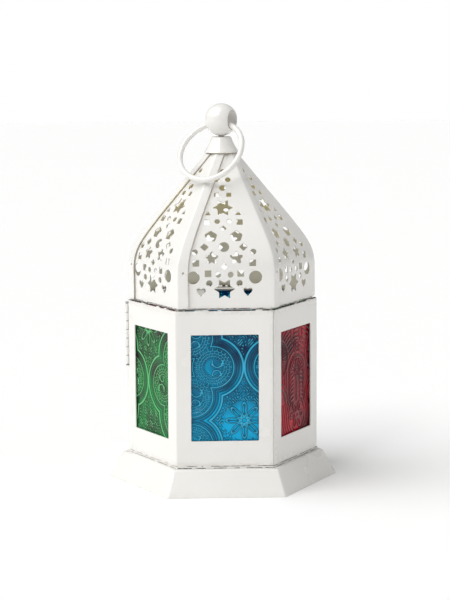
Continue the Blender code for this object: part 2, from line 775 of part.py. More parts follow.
base_and_floor(enamel_paint, tinplate)
walls = [wall(face_number, enamel_paint) for face_number in range(len(FACES))]
panes = [pane(face_number) for face_number in range(len(FACES))]
hinge_leaf("hinge_leaf_body", -1, 60.0 * HINGE_CORNER_FACE, 0, enamel_paint)
door_leaf = hinge_leaf("hinge_leaf_door", 1, 60.0 * DOOR_FACE, 1, enamel_paint)
hinge_pin(bare_steel)
door_axis = Matrix.Translation((-BODY_SIDE, 0, HINGE_BOTTOM))
joint_axis("door_hinge", door_axis, walls[DOOR_FACE], panes[DOOR_FACE], door_leaf)
latch(enamel_paint, bare_steel)
top_ring(enamel_paint)
for face_number in range(len(FACES)):
    petal(face_number, enamel_paint)
neck_and_finial(enamel_paint, bare_steel)
hanging_ring(enamel_paint)
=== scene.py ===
"""The looks of a small hexagonal candle lantern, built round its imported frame.

Sizes are in metres. Faces are numbered round from the front, anticlockwise seen from above. Every
face's pieces are made in the front face's place, where the sheet's outside looks along -Y, and
then turned.
"""

import json
import math

import bmesh
import bpy
import numpy as np
from mathutils import Matrix, Vector, geometry, noise


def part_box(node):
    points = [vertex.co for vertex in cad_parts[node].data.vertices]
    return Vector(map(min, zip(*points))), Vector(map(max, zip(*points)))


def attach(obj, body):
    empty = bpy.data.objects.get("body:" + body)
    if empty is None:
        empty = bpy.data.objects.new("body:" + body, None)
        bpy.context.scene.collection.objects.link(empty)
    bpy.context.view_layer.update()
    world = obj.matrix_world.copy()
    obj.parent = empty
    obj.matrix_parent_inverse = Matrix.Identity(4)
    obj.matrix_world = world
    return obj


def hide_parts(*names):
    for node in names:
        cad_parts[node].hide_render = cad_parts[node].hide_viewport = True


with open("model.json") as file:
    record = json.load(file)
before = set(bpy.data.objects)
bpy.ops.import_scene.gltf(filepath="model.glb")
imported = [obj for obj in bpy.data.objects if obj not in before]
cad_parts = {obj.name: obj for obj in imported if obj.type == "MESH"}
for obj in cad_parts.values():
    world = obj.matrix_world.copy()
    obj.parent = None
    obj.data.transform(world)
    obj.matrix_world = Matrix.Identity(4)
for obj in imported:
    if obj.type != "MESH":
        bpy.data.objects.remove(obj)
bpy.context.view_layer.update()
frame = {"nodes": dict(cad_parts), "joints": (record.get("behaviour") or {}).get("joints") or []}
joints = {joint["name"]: joint for joint in frame["joints"]}


# Base. A flared hexagonal skirt pressed from thin steel, its hem turned under and its top bent in
# to a ledge for the body. Like all the sheet it is dipped in thick white enamel, which softens
# each bend and lets a little rust stain through at the seams. Inside the roof the sheet is a
# darker grey, which is painted shade.
MM = 0.001
SIN60 = math.sin(math.radians(60))
GAP = 0.3 * MM
BASE_SHEET = 0.6 * MM
BASE_HEM = 3.6 * MM
BASE_LEDGE_WIDTH = 8.0 * MM
BASE_LEDGE_SHOW = 2.2 * MM
BASE_CORNER_SOFTNESS = 1.3 * MM
BASE_BEND, BASE_INNER_BEND = 1.1 * MM, 0.6 * MM
HEM_BEND, HEM_INNER_BEND = 0.5 * MM, 0.3 * MM
LEDGE_EDGE, HEM_EDGE = 0.2 * MM, 0.1 * MM
BASE_GRID = 2.5 * MM
BODY_APOTHEM = -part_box("panel_front")[0].y
BASE_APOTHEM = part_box("base_skirt")[1].y
BASE_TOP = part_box("base_skirt")[1].z
LEDGE_APOTHEM = BODY_APOTHEM + BASE_LEDGE_SHOW
ENAMEL_WHITE = (0.84, 0.825, 0.79, 1.0)
# The grey below is painted shade for the roof's inside.
ROOF_INSIDE_SHADE_GREY = (0.58, 0.565, 0.49, 1.0)
RUST_STAIN = (0.23, 0.15, 0.09, 1.0)
# The yellow below is painted warm light on the roof's inside, rising between these heights towards
# the neck.
NECK_LIGHT_YELLOW = (0.70, 0.62, 0.34, 1.0)
NECK_LIGHT_FROM, NECK_LIGHT_TO = 98 * MM, 128 * MM
BLACK = (0.0, 0.0, 0.0, 1.0)
CLOUD_SHADE = 0.045
SPECK_STAIN = 0.35
LEAST_STREAK = 0.1
GLOSSY, CLOUD_DULLNESS, STAIN_DULLNESS = 0.2, 0.08, 0.4
RIPPLE_HEIGHT = 2.5
SHEET_WAVE = 0.11 * MM
WAVE_LENGTH, DENT_LENGTH = 38 * MM, 9 * MM
DENT_SHARE = 0.18
WAVE_SEED = 1


def put(tree, kind, inputs=(), **settings):
    """Adds a node. Each input is a value, or another node's output to join to it."""
    made = tree.nodes.new(kind)
    for name, value in settings.items():
        setattr(made, name, value)
    for key, value in dict(inputs).items():
        if isinstance(value, bpy.types.NodeSocket):
            tree.links.new(value, made.inputs[key])
        else:
            made.inputs[key].default_value = value
    return made


def number(tree, operation, *values, clamp=False):
    inputs = dict(enumerate(values))
    return put(tree, "ShaderNodeMath", inputs, operation=operation, use_clamp=clamp).outputs[0]


def mixed(tree, share, first, second):
    """A colour part of the way from the first to the second."""
    inputs = {"Factor": share, 6: first, 7: second}
    return put(tree, "ShaderNodeMix", inputs, data_type="RGBA").outputs[2]


def rising(tree, value, low, high, most=1.0):
    """0 where the value is at low, rising to most where it is at high."""
    inputs = {"Value": value, "From Min": low, "From Max": high, "To Max": most}
    return put(tree, "ShaderNodeMapRange", inputs).outputs["Result"]


def cloud(tree, scale, low, high, detail=2.0):
    """A soft random value that is 0 where the noise is under low and 1 where it is over high."""
    place = put(tree, "ShaderNodeTexCoord").outputs["Object"]
    grain = put(tree, "ShaderNodeTexNoise", {"Vector": place, "Scale": scale, "Detail": detail})
    return rising(tree, grain.outputs["Fac"], low, high)


def new_group(kind, name, inputs, outputs):
    """A node group with named sockets, given as name and type. Returns it with its two ends."""
    tree = bpy.data.node_groups.new(name, kind)
    for way, sockets in (("INPUT", inputs), ("OUTPUT", outputs)):
        for socket, socket_type in sockets.items():
            tree.interface.new_socket(
                socket, in_out=way, socket_type="NodeSocket" + socket_type
            )
    given = tree.nodes.new("NodeGroupInput").outputs
    return tree, given, tree.nodes.new("NodeGroupOutput").inputs


def dipped_coat():
    """Thick enamel: faint clouds of colour, orange peel, and specks.

    Painted yellow light tints it towards the roof's neck, and it is stained where the seam
    attribute is high.
    """
    tree, given, result = new_group(
        "ShaderNodeTree",
        "dipped_coat",
        {"Colour": "Color", "Stain Colour": "Color", "Stain": "Float", "Neck Light": "Float"},
        {"Colour": "Color", "Roughness": "Float", "Height": "Float"},
    )
    place = put(tree, "ShaderNodeTexCoord").outputs["Object"]
    height = put(tree, "ShaderNodeSeparateXYZ", {0: place}).outputs["Z"]
    # Painted warm light: the colour turns yellow towards the neck, as far as the input asks.
    near_neck = rising(tree, height, NECK_LIGHT_FROM, NECK_LIGHT_TO)
    neck_light_share = number(tree, "MULTIPLY", near_neck, given["Neck Light"])
    neck_lit_colour = mixed(tree, neck_light_share, given["Colour"], NECK_LIGHT_YELLOW)
    clouds = cloud(tree, scale=32.0, low=0.3, high=0.7, detail=3.0)
    colour = mixed(tree, clouds, neck_lit_colour, mixed(tree, CLOUD_SHADE, neck_lit_colour, BLACK))
    seam = put(tree, "ShaderNodeAttribute", attribute_name="seam").outputs["Fac"]
    patchy = cloud(tree, scale=420.0, low=0.38, high=0.62, detail=4.0)
    specks = cloud(tree, scale=1500.0, low=0.735, high=0.76, detail=1.0)
    streaks = number(tree, "MULTIPLY", seam, number(tree, "ADD", LEAST_STREAK, patchy))
    marks = number(tree, "MAXIMUM", number(tree, "MULTIPLY", specks, SPECK_STAIN), streaks)
    stained = number(tree, "MULTIPLY", marks, given["Stain"], clamp=True)
    tree.links.new(mixed(tree, stained, colour, given["Stain Colour"]), result["Colour"])
    gloss = number(tree, "MULTIPLY_ADD", clouds, CLOUD_DULLNESS, GLOSSY)
    rough = number(tree, "MULTIPLY_ADD", stained, STAIN_DULLNESS, gloss)
    tree.links.new(rough, result["Roughness"])
    peel = cloud(tree, scale=330.0, low=0.2, high=0.8)
    ripple = cloud(tree, scale=75.0, low=0.2, high=0.8)
    waves = number(tree, "MULTIPLY_ADD", ripple, RIPPLE_HEIGHT, peel)
    tree.links.new(waves, result["Height"])
    return tree


coat_group = dipped_coat()


def new_finish(name, group, values):
    """A material whose colour comes from a shared effect. Returns it with its tree's main nodes."""
    made = bpy.data.materials.new(name)
    made.use_nodes = True
    tree = made.node_tree
    shader = tree.nodes["Principled BSDF"]
    effect = tree.nodes.new("ShaderNodeGroup")
    effect.node_tree = group
    for key, value in values.items():
        effect.inputs[key].default_value = value
    tree.links.new(effect.outputs["Colour"], shader.inputs["Base Color"])
    return made, tree, shader, effect


def bumped(tree, shader, height, strength, depth):
    """Roughens a shader's surface by a height."""
    inputs = {"Height": height, "Strength": strength, "Distance": depth}
    normal = put(tree, "ShaderNodeBump", inputs).outputs["Normal"]
    tree.links.new(normal, shader.inputs["Normal"])


def enamel(name, colour, stain, coat, neck_light):
    """A material of dipped enamel over steel."""
    values = {"Colour": colour, "Stain Colour": RUST_STAIN, "Stain": stain, "Neck Light": neck_light}
    made, tree, shader, coating = new_finish(name, coat_group, values)
    tree.links.new(coating.outputs["Roughness"], shader.inputs["Roughness"])
    bumped(tree, shader, coating.outputs["Height"], strength=0.35, depth=0.06 * MM)
    shader.inputs["Coat Weight"].default_value = coat
    shader.inputs["Coat Roughness"].default_value = 0.09
    return made


white_enamel = enamel("white_enamel", ENAMEL_WHITE, stain=0.3, coat=0.5, neck_light=0.0)
# The roof's inside finish: a darker grey that is painted shade, with painted warm light towards the
# neck.
roof_inside_shade_and_light = enamel("roof_inside_shade_and_light", ROOF_INSIDE_SHADE_GREY, stain=0.4, coat=0.0, neck_light=0.9)


def softened(points, closed=False, steps=4):
    """A line through points of (across, up, softness), each corner rounded off by its softness."""
    line = []
    for i, (across, up, soft) in enumerate(points):
        here = Vector((across, up))
        if soft == 0 or (not closed and i in (0, len(points) - 1)):
            line.append(here)
            continue
        back = Vector(points[i - 1][:2]) - here
        on = Vector(points[(i + 1) % len(points)][:2]) - here
        reach = min(soft, 0.48 * back.length, 0.48 * on.length)
        start, end = here + back.normalized() * reach, here + on.normalized() * reach
        for k in range(steps + 1):
            t = k / steps
            line.append(start * (1 - t) ** 2 + here * 2 * t * (1 - t) + end * t**2)
    return line


def hexagon(apothem, height, softness, per_side=14, steps=5):
    """A level hexagon with rounded corners, two of them on the X axis."""
    corners = []
    for corner in range(6):
        middle = math.radians(60 * corner)
        centre = Vector((math.cos(middle), math.sin(middle))) * (apothem - softness) / SIN60
        turns = [middle + math.radians(-30 + 60 * k / steps) for k in range(steps + 1)]
        corners.append([centre + softness * Vector((math.cos(a), math.sin(a))) for a in turns])
    ring = []
    for corner, after in zip(corners, corners[1:] + corners[:1]):
        ring += corner
        ring += [corner[-1].lerp(after[0], k / per_side) for k in range(1, per_side)]
    return [Vector((*point, height)) for point in ring]


def turned_outwards(shape, mesh):
    """Fills a mesh from a shape, with every face looking outwards."""
    bmesh.ops.recalc_face_normals(shape, faces=shape.faces)
    shape.to_mesh(mesh)
    shape.free()
    return mesh


def lofted(name, rings, capped=False):
    """A closed shell through rings of equal count, capped or with the last joined to the first."""
    shape = bmesh.new()
    made = [[shape.verts.new(point) for point in ring] for ring in rings]
    for lower, upper in zip(made, made[1:] if capped else made[1:] + made[:1]):
        for i in range(len(lower)):
            j = (i + 1) % len(lower)
            shape.faces.new((lower[i], lower[j], upper[j], upper[i]))
    if capped:
        shape.faces.new(made[0])
        shape.faces.new(made[-1])
    return turned_outwards(shape, bpy.data.meshes.new(name))


noise.seed_set(WAVE_SEED)


def worked(mesh, amount=SHEET_WAVE):
    """Takes the ruler's straightness out of sheet, with one wave for all, so pieces still meet."""
    for vertex in mesh.vertices:
        slow = noise.noise_vector(vertex.co / WAVE_LENGTH)
        quick = noise.noise_vector(vertex.co / DENT_LENGTH)
        vertex.co += slow * amount + quick * amount * DENT_SHARE


def fading(distance, reach):
    """1 at a seam, falling away over a reach."""
    return math.exp(-distance / reach)


def stained(mesh, nearness):
    """Stores how near a seam each point is, from 0 to 1, for the enamel's stain."""
    mesh.attributes.new("seam", "FLOAT", "POINT").data.foreach_set("value", nearness)


def shown(name, mesh, finishes, crease=32.0):
    """An object of a finished mesh, smooth but for its sharp edges."""
    last = len(finishes) - 1
    slots = [min(polygon.material_index, last) for polygon in mesh.polygons]
    mesh.materials.clear()
    for finish in finishes:
        mesh.materials.append(finish)
    mesh.polygons.foreach_set("material_index", slots)
    mesh.shade_smooth()
    mesh.set_sharp_from_angle(angle=math.radians(crease))
    made = bpy.data.objects.new(name, mesh)
    bpy.context.scene.collection.objects.link(made)
    return made


def fitted(made, body, slot, *replaced):
    """Fixes a piece to its body, in place of the frame's own parts. Its slot is not used."""
    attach(made, body)
    if replaced:
        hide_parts(*replaced)


def base_stain(at):
    """Rust shows round the body's foot and, faintly, at the hem."""
    if at.z > BASE_TOP - LEDGE_EDGE:
        from_body = BODY_APOTHEM / SIN60 + 0.5 * MM - at.xy.length
        return 0.8 * fading(max(0.0, from_body), MM)
    return 0.25 * fading(at.z, 0.8 * MM)


def base_skirt():
    hem = BASE_APOTHEM - BASE_HEM
    ledge = LEDGE_APOTHEM - BASE_LEDGE_WIDTH
    profile = softened(
        [
            (ledge, BASE_TOP, LEDGE_EDGE),
            (LEDGE_APOTHEM, BASE_TOP, BASE_BEND),
            (BASE_APOTHEM, 0.0, HEM_BEND),
            (hem, 0.0, HEM_EDGE),
            (hem, BASE_SHEET, HEM_EDGE),
            (BASE_APOTHEM - 2 * BASE_SHEET, BASE_SHEET, HEM_INNER_BEND),
            (LEDGE_APOTHEM - BASE_SHEET, BASE_TOP - BASE_SHEET, BASE_INNER_BEND),
            (ledge, BASE_TOP - BASE_SHEET, LEDGE_EDGE),
        ],
        closed=True,
    )
    between = []
    for here, after in zip(profile, profile[1:] + profile[:1]):
        pieces = max(1, int((after - here).length / BASE_GRID))
        between += [here.lerp(after, k / pieces) for k in range(pieces)]
    rings = [hexagon(point.x, point.y, BASE_CORNER_SOFTNESS) for point in between]
    mesh = lofted("base_skirt_sheet", rings)
    worked(mesh)
    for vertex in mesh.vertices:
        vertex.co.z = max(vertex.co.z, 0.0)
    stained(mesh, [base_stain(vertex.co) for vertex in mesh.vertices])
    return shown("base_skirt_sheet", mesh, [white_enamel])


fitted(base_skirt(), "housing", "enamel", "base_skirt")


# Floor and candle cup. A flat hexagonal plate lies on the base's ledge, and its edge shows as the
# dark seam under the walls. A shallow tinplate cup, spun with a rolled rim, holds one small candle
# in its middle.
CUP_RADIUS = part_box("candle_cup")[1].x
CUP_BOTTOM, CUP_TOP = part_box("candle_cup")[0].z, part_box("candle_cup")[1].z
CUP_SHEET = 0.5 * MM
CUP_BEND = 1.6 * MM
CUP_TAPER = 0.1 * MM
CUP_BEADS = (6.0 * MM, 11.0 * MM)
BEAD_WIDTH = 1.4 * MM
BEAD_HEIGHT = 0.7 * CUP_SHEET
BEAD_BEND = 0.3 * MM
RIM_DEPTH, RIM_UNDER = 0.9 * MM, 1.2 * MM
RIM_ROLL = 0.25 * MM
TINPLATE, DULL_TINPLATE = (0.62, 0.61, 0.58, 1.0), (0.40, 0.39, 0.36, 1.0)
STEEL, DULL_STEEL = (0.46, 0.45, 0.43, 1.0), (0.24, 0.20, 0.16, 1.0)
GRAIN_ROUGHNESS, LEAST_ROUGHNESS, DULL_ROUGHNESS = 0.2, 0.16, 0.22


def scratched_metal():
    """Fine grain and dull patches on bare metal."""
    tree, given, result = new_group(
        "ShaderNodeTree",
        "scratched_metal",
        {"Colour": "Color", "Dull Colour": "Color", "Grain": "Float"},
        {"Colour": "Color", "Roughness": "Float", "Height": "Float"},
    )
    place = put(tree, "ShaderNodeTexCoord").outputs["Object"]
    inputs = {"Vector": place, "Scale": given["Grain"], "Detail": 3.0}
    grain = put(tree, "ShaderNodeTexNoise", inputs).outputs["Fac"]
    dull = cloud(tree, scale=160.0, low=0.42, high=0.68, detail=4.0)
    tree.links.new(mixed(tree, dull, given["Colour"], given["Dull Colour"]), result["Colour"])
    rough = number(tree, "MULTIPLY_ADD", grain, GRAIN_ROUGHNESS, LEAST_ROUGHNESS)
    duller = number(tree, "MULTIPLY_ADD", dull, DULL_ROUGHNESS, rough)
    tree.links.new(duller, result["Roughness"])
    tree.links.new(grain, result["Height"])
    return tree


metal_group = scratched_metal()


def bare_metal(name, colour, dull_colour, grain):
    """A material of bare metal, dulled in patches."""
    values = {"Colour": colour, "Dull Colour": dull_colour, "Grain": grain}
    made, tree, shader, worn = new_finish(name, metal_group, values)
    tree.links.new(worn.outputs["Roughness"], shader.inputs["Roughness"])
    bumped(tree, shader, worn.outputs["Height"], strength=0.25, depth=0.03 * MM)
    shader.inputs["Metallic"].default_value = 1.0
    return made


tinplate = bare_metal("tinplate", TINPLATE, DULL_TINPLATE, grain=900.0)
steel = bare_metal("steel", STEEL, DULL_STEEL, grain=1400.0)


def spun(name, profile, steps):
    """A shape turned about +Z from (radius, height) points. A point on the axis makes a pole."""
    shape = bmesh.new()
    rings = []
    angles = [2 * math.pi * k / steps for k in range(steps)]
    for radius, height in profile:
        if radius < 1e-7:
            rings.append([shape.verts.new((0.0, 0.0, height))] * steps)
            continue
        level = [(radius * math.cos(a), radius * math.sin(a), height) for a in angles]
        rings.append([shape.verts.new(point) for point in level])
    whole = profile[0][0] >= 1e-7
    for lower, upper in zip(rings, rings[1:] + rings[:1] if whole else rings[1:]):
        for i in range(steps):
            j = (i + 1) % steps
            corners = dict.fromkeys((lower[i], lower[j], upper[j], upper[i]))
            if len(corners) > 2:
                shape.faces.new(corners)
    return turned_outwards(shape, bpy.data.meshes.new(name))


def candle_cup():
    inner, floor_top = CUP_RADIUS - CUP_SHEET, CUP_BOTTOM + CUP_SHEET
    profile = [(0.0, floor_top, 0)]
    for bead in CUP_BEADS:
        profile.append((bead, floor_top, BEAD_BEND))
        profile.append((bead + BEAD_WIDTH / 2, floor_top + BEAD_HEIGHT, BEAD_BEND))
        profile.append((bead + BEAD_WIDTH, floor_top, BEAD_BEND))
    profile += [
        (inner, floor_top, CUP_BEND),
        (inner, CUP_TOP - 0.3 * MM, 0.1 * MM),
        (inner, CUP_TOP, RIM_ROLL),
        (CUP_RADIUS, CUP_TOP, RIM_ROLL),
        (CUP_RADIUS, CUP_TOP - RIM_DEPTH, 0.2 * MM),
        (CUP_RADIUS - 0.15 * MM, CUP_TOP - RIM_UNDER, 0.1 * MM),
        (CUP_RADIUS - CUP_TAPER, CUP_BOTTOM, CUP_BEND),
        (0.0, CUP_BOTTOM, 0),
    ]
    mesh = spun("candle_cup_spun", softened(profile), steps=72)
    return shown("candle_cup_spun", mesh, [tinplate])


fitted(candle_cup(), "housing", "tinplate", "candle_cup")


def dressed(node, finish):
    """Gives a carried-over frame part its finish."""
    mesh_slots = frame["nodes"][node].material_slots
    for mesh_slot in mesh_slots:
        mesh_slot.link = "OBJECT"
        mesh_slot.material = finish
    if not mesh_slots:
        frame["nodes"][node].data.materials.append(finish)


dressed("floor_plate", white_enamel)


# Body. Five fixed sides are bent from two double strips and a single one, and the sixth is the
# door. Each side is punched with a window. Strips meet in a fine groove, their edges turned inwards
# and soldered back to back, while the corner inside a double strip is one soft bend.
SHEET = 0.5 * MM
LIP = 0.1 * MM
PUNCH_DEPTH = 1.5
COLUMN_STEP, ROW_STEP = 1.7 * MM, 2.2 * MM
WALL_BOTTOM, WALL_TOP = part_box("panel_front")[0].z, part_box("panel_front")[1].z
BODY_SIDE = BODY_APOTHEM / SIN60
WALL_FLANGE = 3.0 * MM
WINDOW_SIDE = 6.65 * MM
WINDOW_SILL = 11.0 * MM
WINDOW_HEAD = 10.4 * MM
WINDOW_WIDTH = BODY_SIDE - 2 * WINDOW_SIDE
WINDOW_HEIGHT = WALL_TOP - WALL_BOTTOM - WINDOW_SILL - WINDOW_HEAD
WINDOW_MIDDLE = WALL_BOTTOM + WINDOW_SILL + WINDOW_HEIGHT / 2
SOFT_BEND = 1.1 * MM
SEAM_BEND = 0.34 * MM
HINGE_EDGE_SETBACK = 0.5 * MM
NOTCH_CLEARANCE = 1.3 * MM
WALL_EDGE_STAIN, WALL_BEND_STAIN = 0.75, 0.35
STAIN_REACH = 0.5 * MM
HINGE_LOW, HINGE_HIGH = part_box("hinge_pin")[0].z - GAP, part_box("hinge_pin")[1].z + GAP
RIVET_HOLE_RADIUS = 1.1 * MM
LATCH_PLACE = Vector(joints["latch_swivel"]["pos_m"])


def outline_mesh(name, points):
    """One flat face, in a collection that a tree can pick from."""
    mesh = bpy.data.meshes.new(name)
    mesh.from_pydata([(x, y, 0.0) for x, y in points], [], [range(len(points))])
    return bpy.data.objects.new(name, mesh)


def round_points(sides, radius=1.0, first=90.0):
    turns = [math.radians(first + 360.0 * i / sides) for i in range(sides)]
    return [(radius * math.cos(a), radius * math.sin(a)) for a in turns]


def cornered(points, softness=0.16, steps=3):
    """An outline with the slight roundness that enamel leaves in a punched corner."""
    return softened([(x, y, softness) for x, y in points], closed=True, steps=steps)


def spade_leaf():
    side = [(0.5, -0.45, 0.3), (0.92, 0.0, 0.3), (1.0, 0.62, 0.4), (0.5, 0.98, 0.4)]
    left = [(-x, y, soft) for x, y, soft in reversed(side)]
    return softened([(0.0, -1.0, 0.1), *side, (0.0, 0.5, 0.05), *left], closed=True, steps=4)


def blossom():
    """Five round petals in one outline."""
    turns = [math.radians(90 + 360 * i / 50) for i in range(50)]
    reach = [0.8 + 0.2 * math.cos(5 * (a - math.pi / 2)) for a in turns]
    return [(r * math.cos(a), r * math.sin(a)) for r, a in zip(reach, turns)]


star_tips, star_notches = round_points(6, 1.0, 0.0), round_points(6, 0.58, 30.0)
six_points = [point for pair in zip(star_tips, star_notches) for point in pair]
tall = WINDOW_HEIGHT / WINDOW_WIDTH
notch_tall = (HINGE_HIGH - HINGE_LOW) / 2 / NOTCH_CLEARANCE
PUNCHES = {
    "blossom": blossom(),
    "diamond": cornered(round_points(4, first=0.0)),
    "hinge_notch": [(-1, -notch_tall), (1, -notch_tall), (1, notch_tall), (-1, notch_tall)],
    "pentagon": cornered(round_points(5)),
    "round": round_points(28),
    "spade": spade_leaf(),
    "square": cornered(round_points(4, first=45.0)),
    "star": cornered(six_points, 0.07),
    "triangle": cornered(round_points(3)),
    "window": cornered([(-1, -tall), (1, -tall), (1, tall), (-1, tall)], 0.03, steps=4),
}
punch_set = bpy.data.collections.new("punches")
for punch_name, punch_outline in PUNCHES.items():
    punch_set.objects.link(outline_mesh(punch_name, punch_outline))


def end_tree(tree, geometry, finish, result):
    """Ends a geometry tree with whole geometry in its finish."""
    whole = put(tree, "GeometryNodeRealizeInstances", {"Geometry": geometry}).outputs[0]
    inputs = {"Geometry": whole, "Material": finish}
    tree.links.new(put(tree, "GeometryNodeSetMaterial", inputs).outputs[0], result)


def mark_value(tree, name, kind):
    inputs = {"Name": name}
    return put(tree, "GeometryNodeInputNamedAttribute", inputs, data_type=kind).outputs[0]


def punching_tree():
    """Cuts the marked outlines through a sheet, each opened by the lip at the sheet's outside."""
    tree, given, result = new_group(
        "GeometryNodeTree",
        "punched_sheet",
        {"Marks": "Geometry", "Blank": "Object", "Punches": "Collection", "Sheet": "Float",
         "Lip": "Float", "Finish": "Material"},
        {"Punched": "Geometry"},
    )
    inputs = {"Collection": given["Punches"], "Separate Children": True, "Reset Children": True}
    punches = put(tree, "GeometryNodeCollectionInfo", inputs).outputs[0]
    size = mark_value(tree, "size", "FLOAT")
    inputs = {"Points": given["Marks"], "Instance": punches, "Pick Instance": True,
              "Instance Index": mark_value(tree, "kind", "INT"), "Scale": size}
    placed = put(tree, "GeometryNodeInstanceOnPoints", inputs).outputs[0]
    flat = put(tree, "GeometryNodeRealizeInstances", {"Geometry": placed}).outputs[0]
    below = number(tree, "MULTIPLY", given["Sheet"], -PUNCH_DEPTH)
    drop = put(tree, "ShaderNodeCombineXYZ", {"Z": below}).outputs[0]
    inputs = {"Geometry": flat, "Offset": drop}
    start = put(tree, "GeometryNodeSetPosition", inputs).outputs[0]
    whole_rise = number(tree, "MULTIPLY", given["Sheet"], PUNCH_DEPTH)
    rise = number(tree, "SUBTRACT", whole_rise, given["Lip"])
    inputs = {"Mesh": start, "Offset Scale": rise}
    straight = put(tree, "GeometryNodeExtrudeMesh", inputs).outputs
    out = number(tree, "MULTIPLY", given["Lip"], 2.0)
    inputs = {"Mesh": straight[0], "Selection": straight[1], "Offset Scale": out}
    flared = put(tree, "GeometryNodeExtrudeMesh", inputs).outputs
    wider = number(tree, "ADD", 1.0, number(tree, "DIVIDE", out, size))
    inputs = {"Geometry": flared[0], "Selection": flared[1], "Scale": wider}
    open_lip = put(tree, "GeometryNodeScaleElements", inputs).outputs[0]
    ends = put(tree, "GeometryNodeFlipFaces", {"Mesh": start}).outputs[0]
    joined = tree.nodes.new("GeometryNodeJoinGeometry")
    for piece in (open_lip, ends):
        tree.links.new(piece, joined.inputs[0])
    inputs = {"Geometry": joined.outputs[0], "Distance": 1e-6}
    tools = put(tree, "GeometryNodeMergeByDistance", inputs).outputs[0]
    blank = put(tree, "GeometryNodeObjectInfo", {"Object": given["Blank"]}).outputs["Geometry"]
    cut = put(tree, "GeometryNodeMeshBoolean", {0: blank, 1: tools},
              operation="DIFFERENCE", solver="EXACT")
    end_tree(tree, cut.outputs[0], given["Finish"], result["Punched"])
    return tree


def grown(name, tree, start_mesh, values):
    """Runs a geometry tree on a mesh, by its named inputs, and returns a plain mesh."""
    holder = bpy.data.objects.new(name + "_growing", start_mesh)
    bpy.context.scene.collection.objects.link(holder)
    growth = holder.modifiers.new("growth", "NODES")
    growth.node_group = tree
    for item in tree.interface.items_tree:
        if item.in_out == "INPUT" and item.name in values:
            growth[item.identifier] = values[item.name]
    graph = bpy.context.evaluated_depsgraph_get()
    mesh = bpy.data.meshes.new_from_object(holder.evaluated_get(graph), depsgraph=graph)
    mesh.name = name
    holder.modifiers.remove(growth)
    bpy.data.objects.remove(holder)
    return mesh


def marks_mesh(marks):
    """One point for each punch: its name, size and place on the flat sheet."""
    mesh = bpy.data.meshes.new("marks")
    mesh.from_pydata([(x, y, 0.0) for _, _, x, y in marks], [], [])
    order = sorted(PUNCHES)
    kinds = mesh.attributes.new("kind", "INT", "POINT")
    kinds.data.foreach_set("value", [order.index(kind) for kind, _, _, _ in marks])
    sizes = mesh.attributes.new("size", "FLOAT", "POINT")
    sizes.data.foreach_set("value", [size for _, size, _, _ in marks])
    return mesh


def blank_mesh(name, rows):
    """A flat sheet of rows of (across, up) points, its outside at height 0."""
    width = len(rows[0])
    flat = [point for row in rows for point in row]
    count = len(flat)
    points = [(x, y, 0.0) for x, y in flat] + [(x, y, -SHEET) for x, y in flat]
    faces = []
    for r in range(len(rows) - 1):
        for c in range(width - 1):
            a = r * width + c
            quad = (a, a + 1, a + width + 1, a + width)
            faces.append(quad)
            faces.append(tuple(i + count for i in reversed(quad)))
    rim = [c for c in range(width)]
    rim += [r * width + width - 1 for r in range(1, len(rows))]
    rim += [(len(rows) - 1) * width + c for c in range(width - 2, -1, -1)]
    rim += [r * width for r in range(len(rows) - 2, 0, -1)]
    for here, after in zip(rim, rim[1:] + rim[:1]):
        faces.append((after, here, here + count, after + count))
    mesh = bpy.data.meshes.new(name)
    mesh.from_pydata(points, [], faces)
    return bpy.data.objects.new(name, mesh)


punched = punching_tree()


def punched_sheet(name, rows, marks):
    blank = blank_mesh(name + "_blank", rows)
    values = {"Blank": blank, "Punches": punch_set, "Sheet": SHEET, "Lip": LIP,
              "Finish": white_enamel}
    mesh = grown(name, punched, marks_mesh(marks), values)
    bpy.data.objects.remove(blank)
    return mesh


def stepped(low, high, longest):
    pieces = max(1, math.ceil((high - low) / longest - 1e-6))
    return [low + (high - low) * k / pieces for k in range(pieces + 1)]


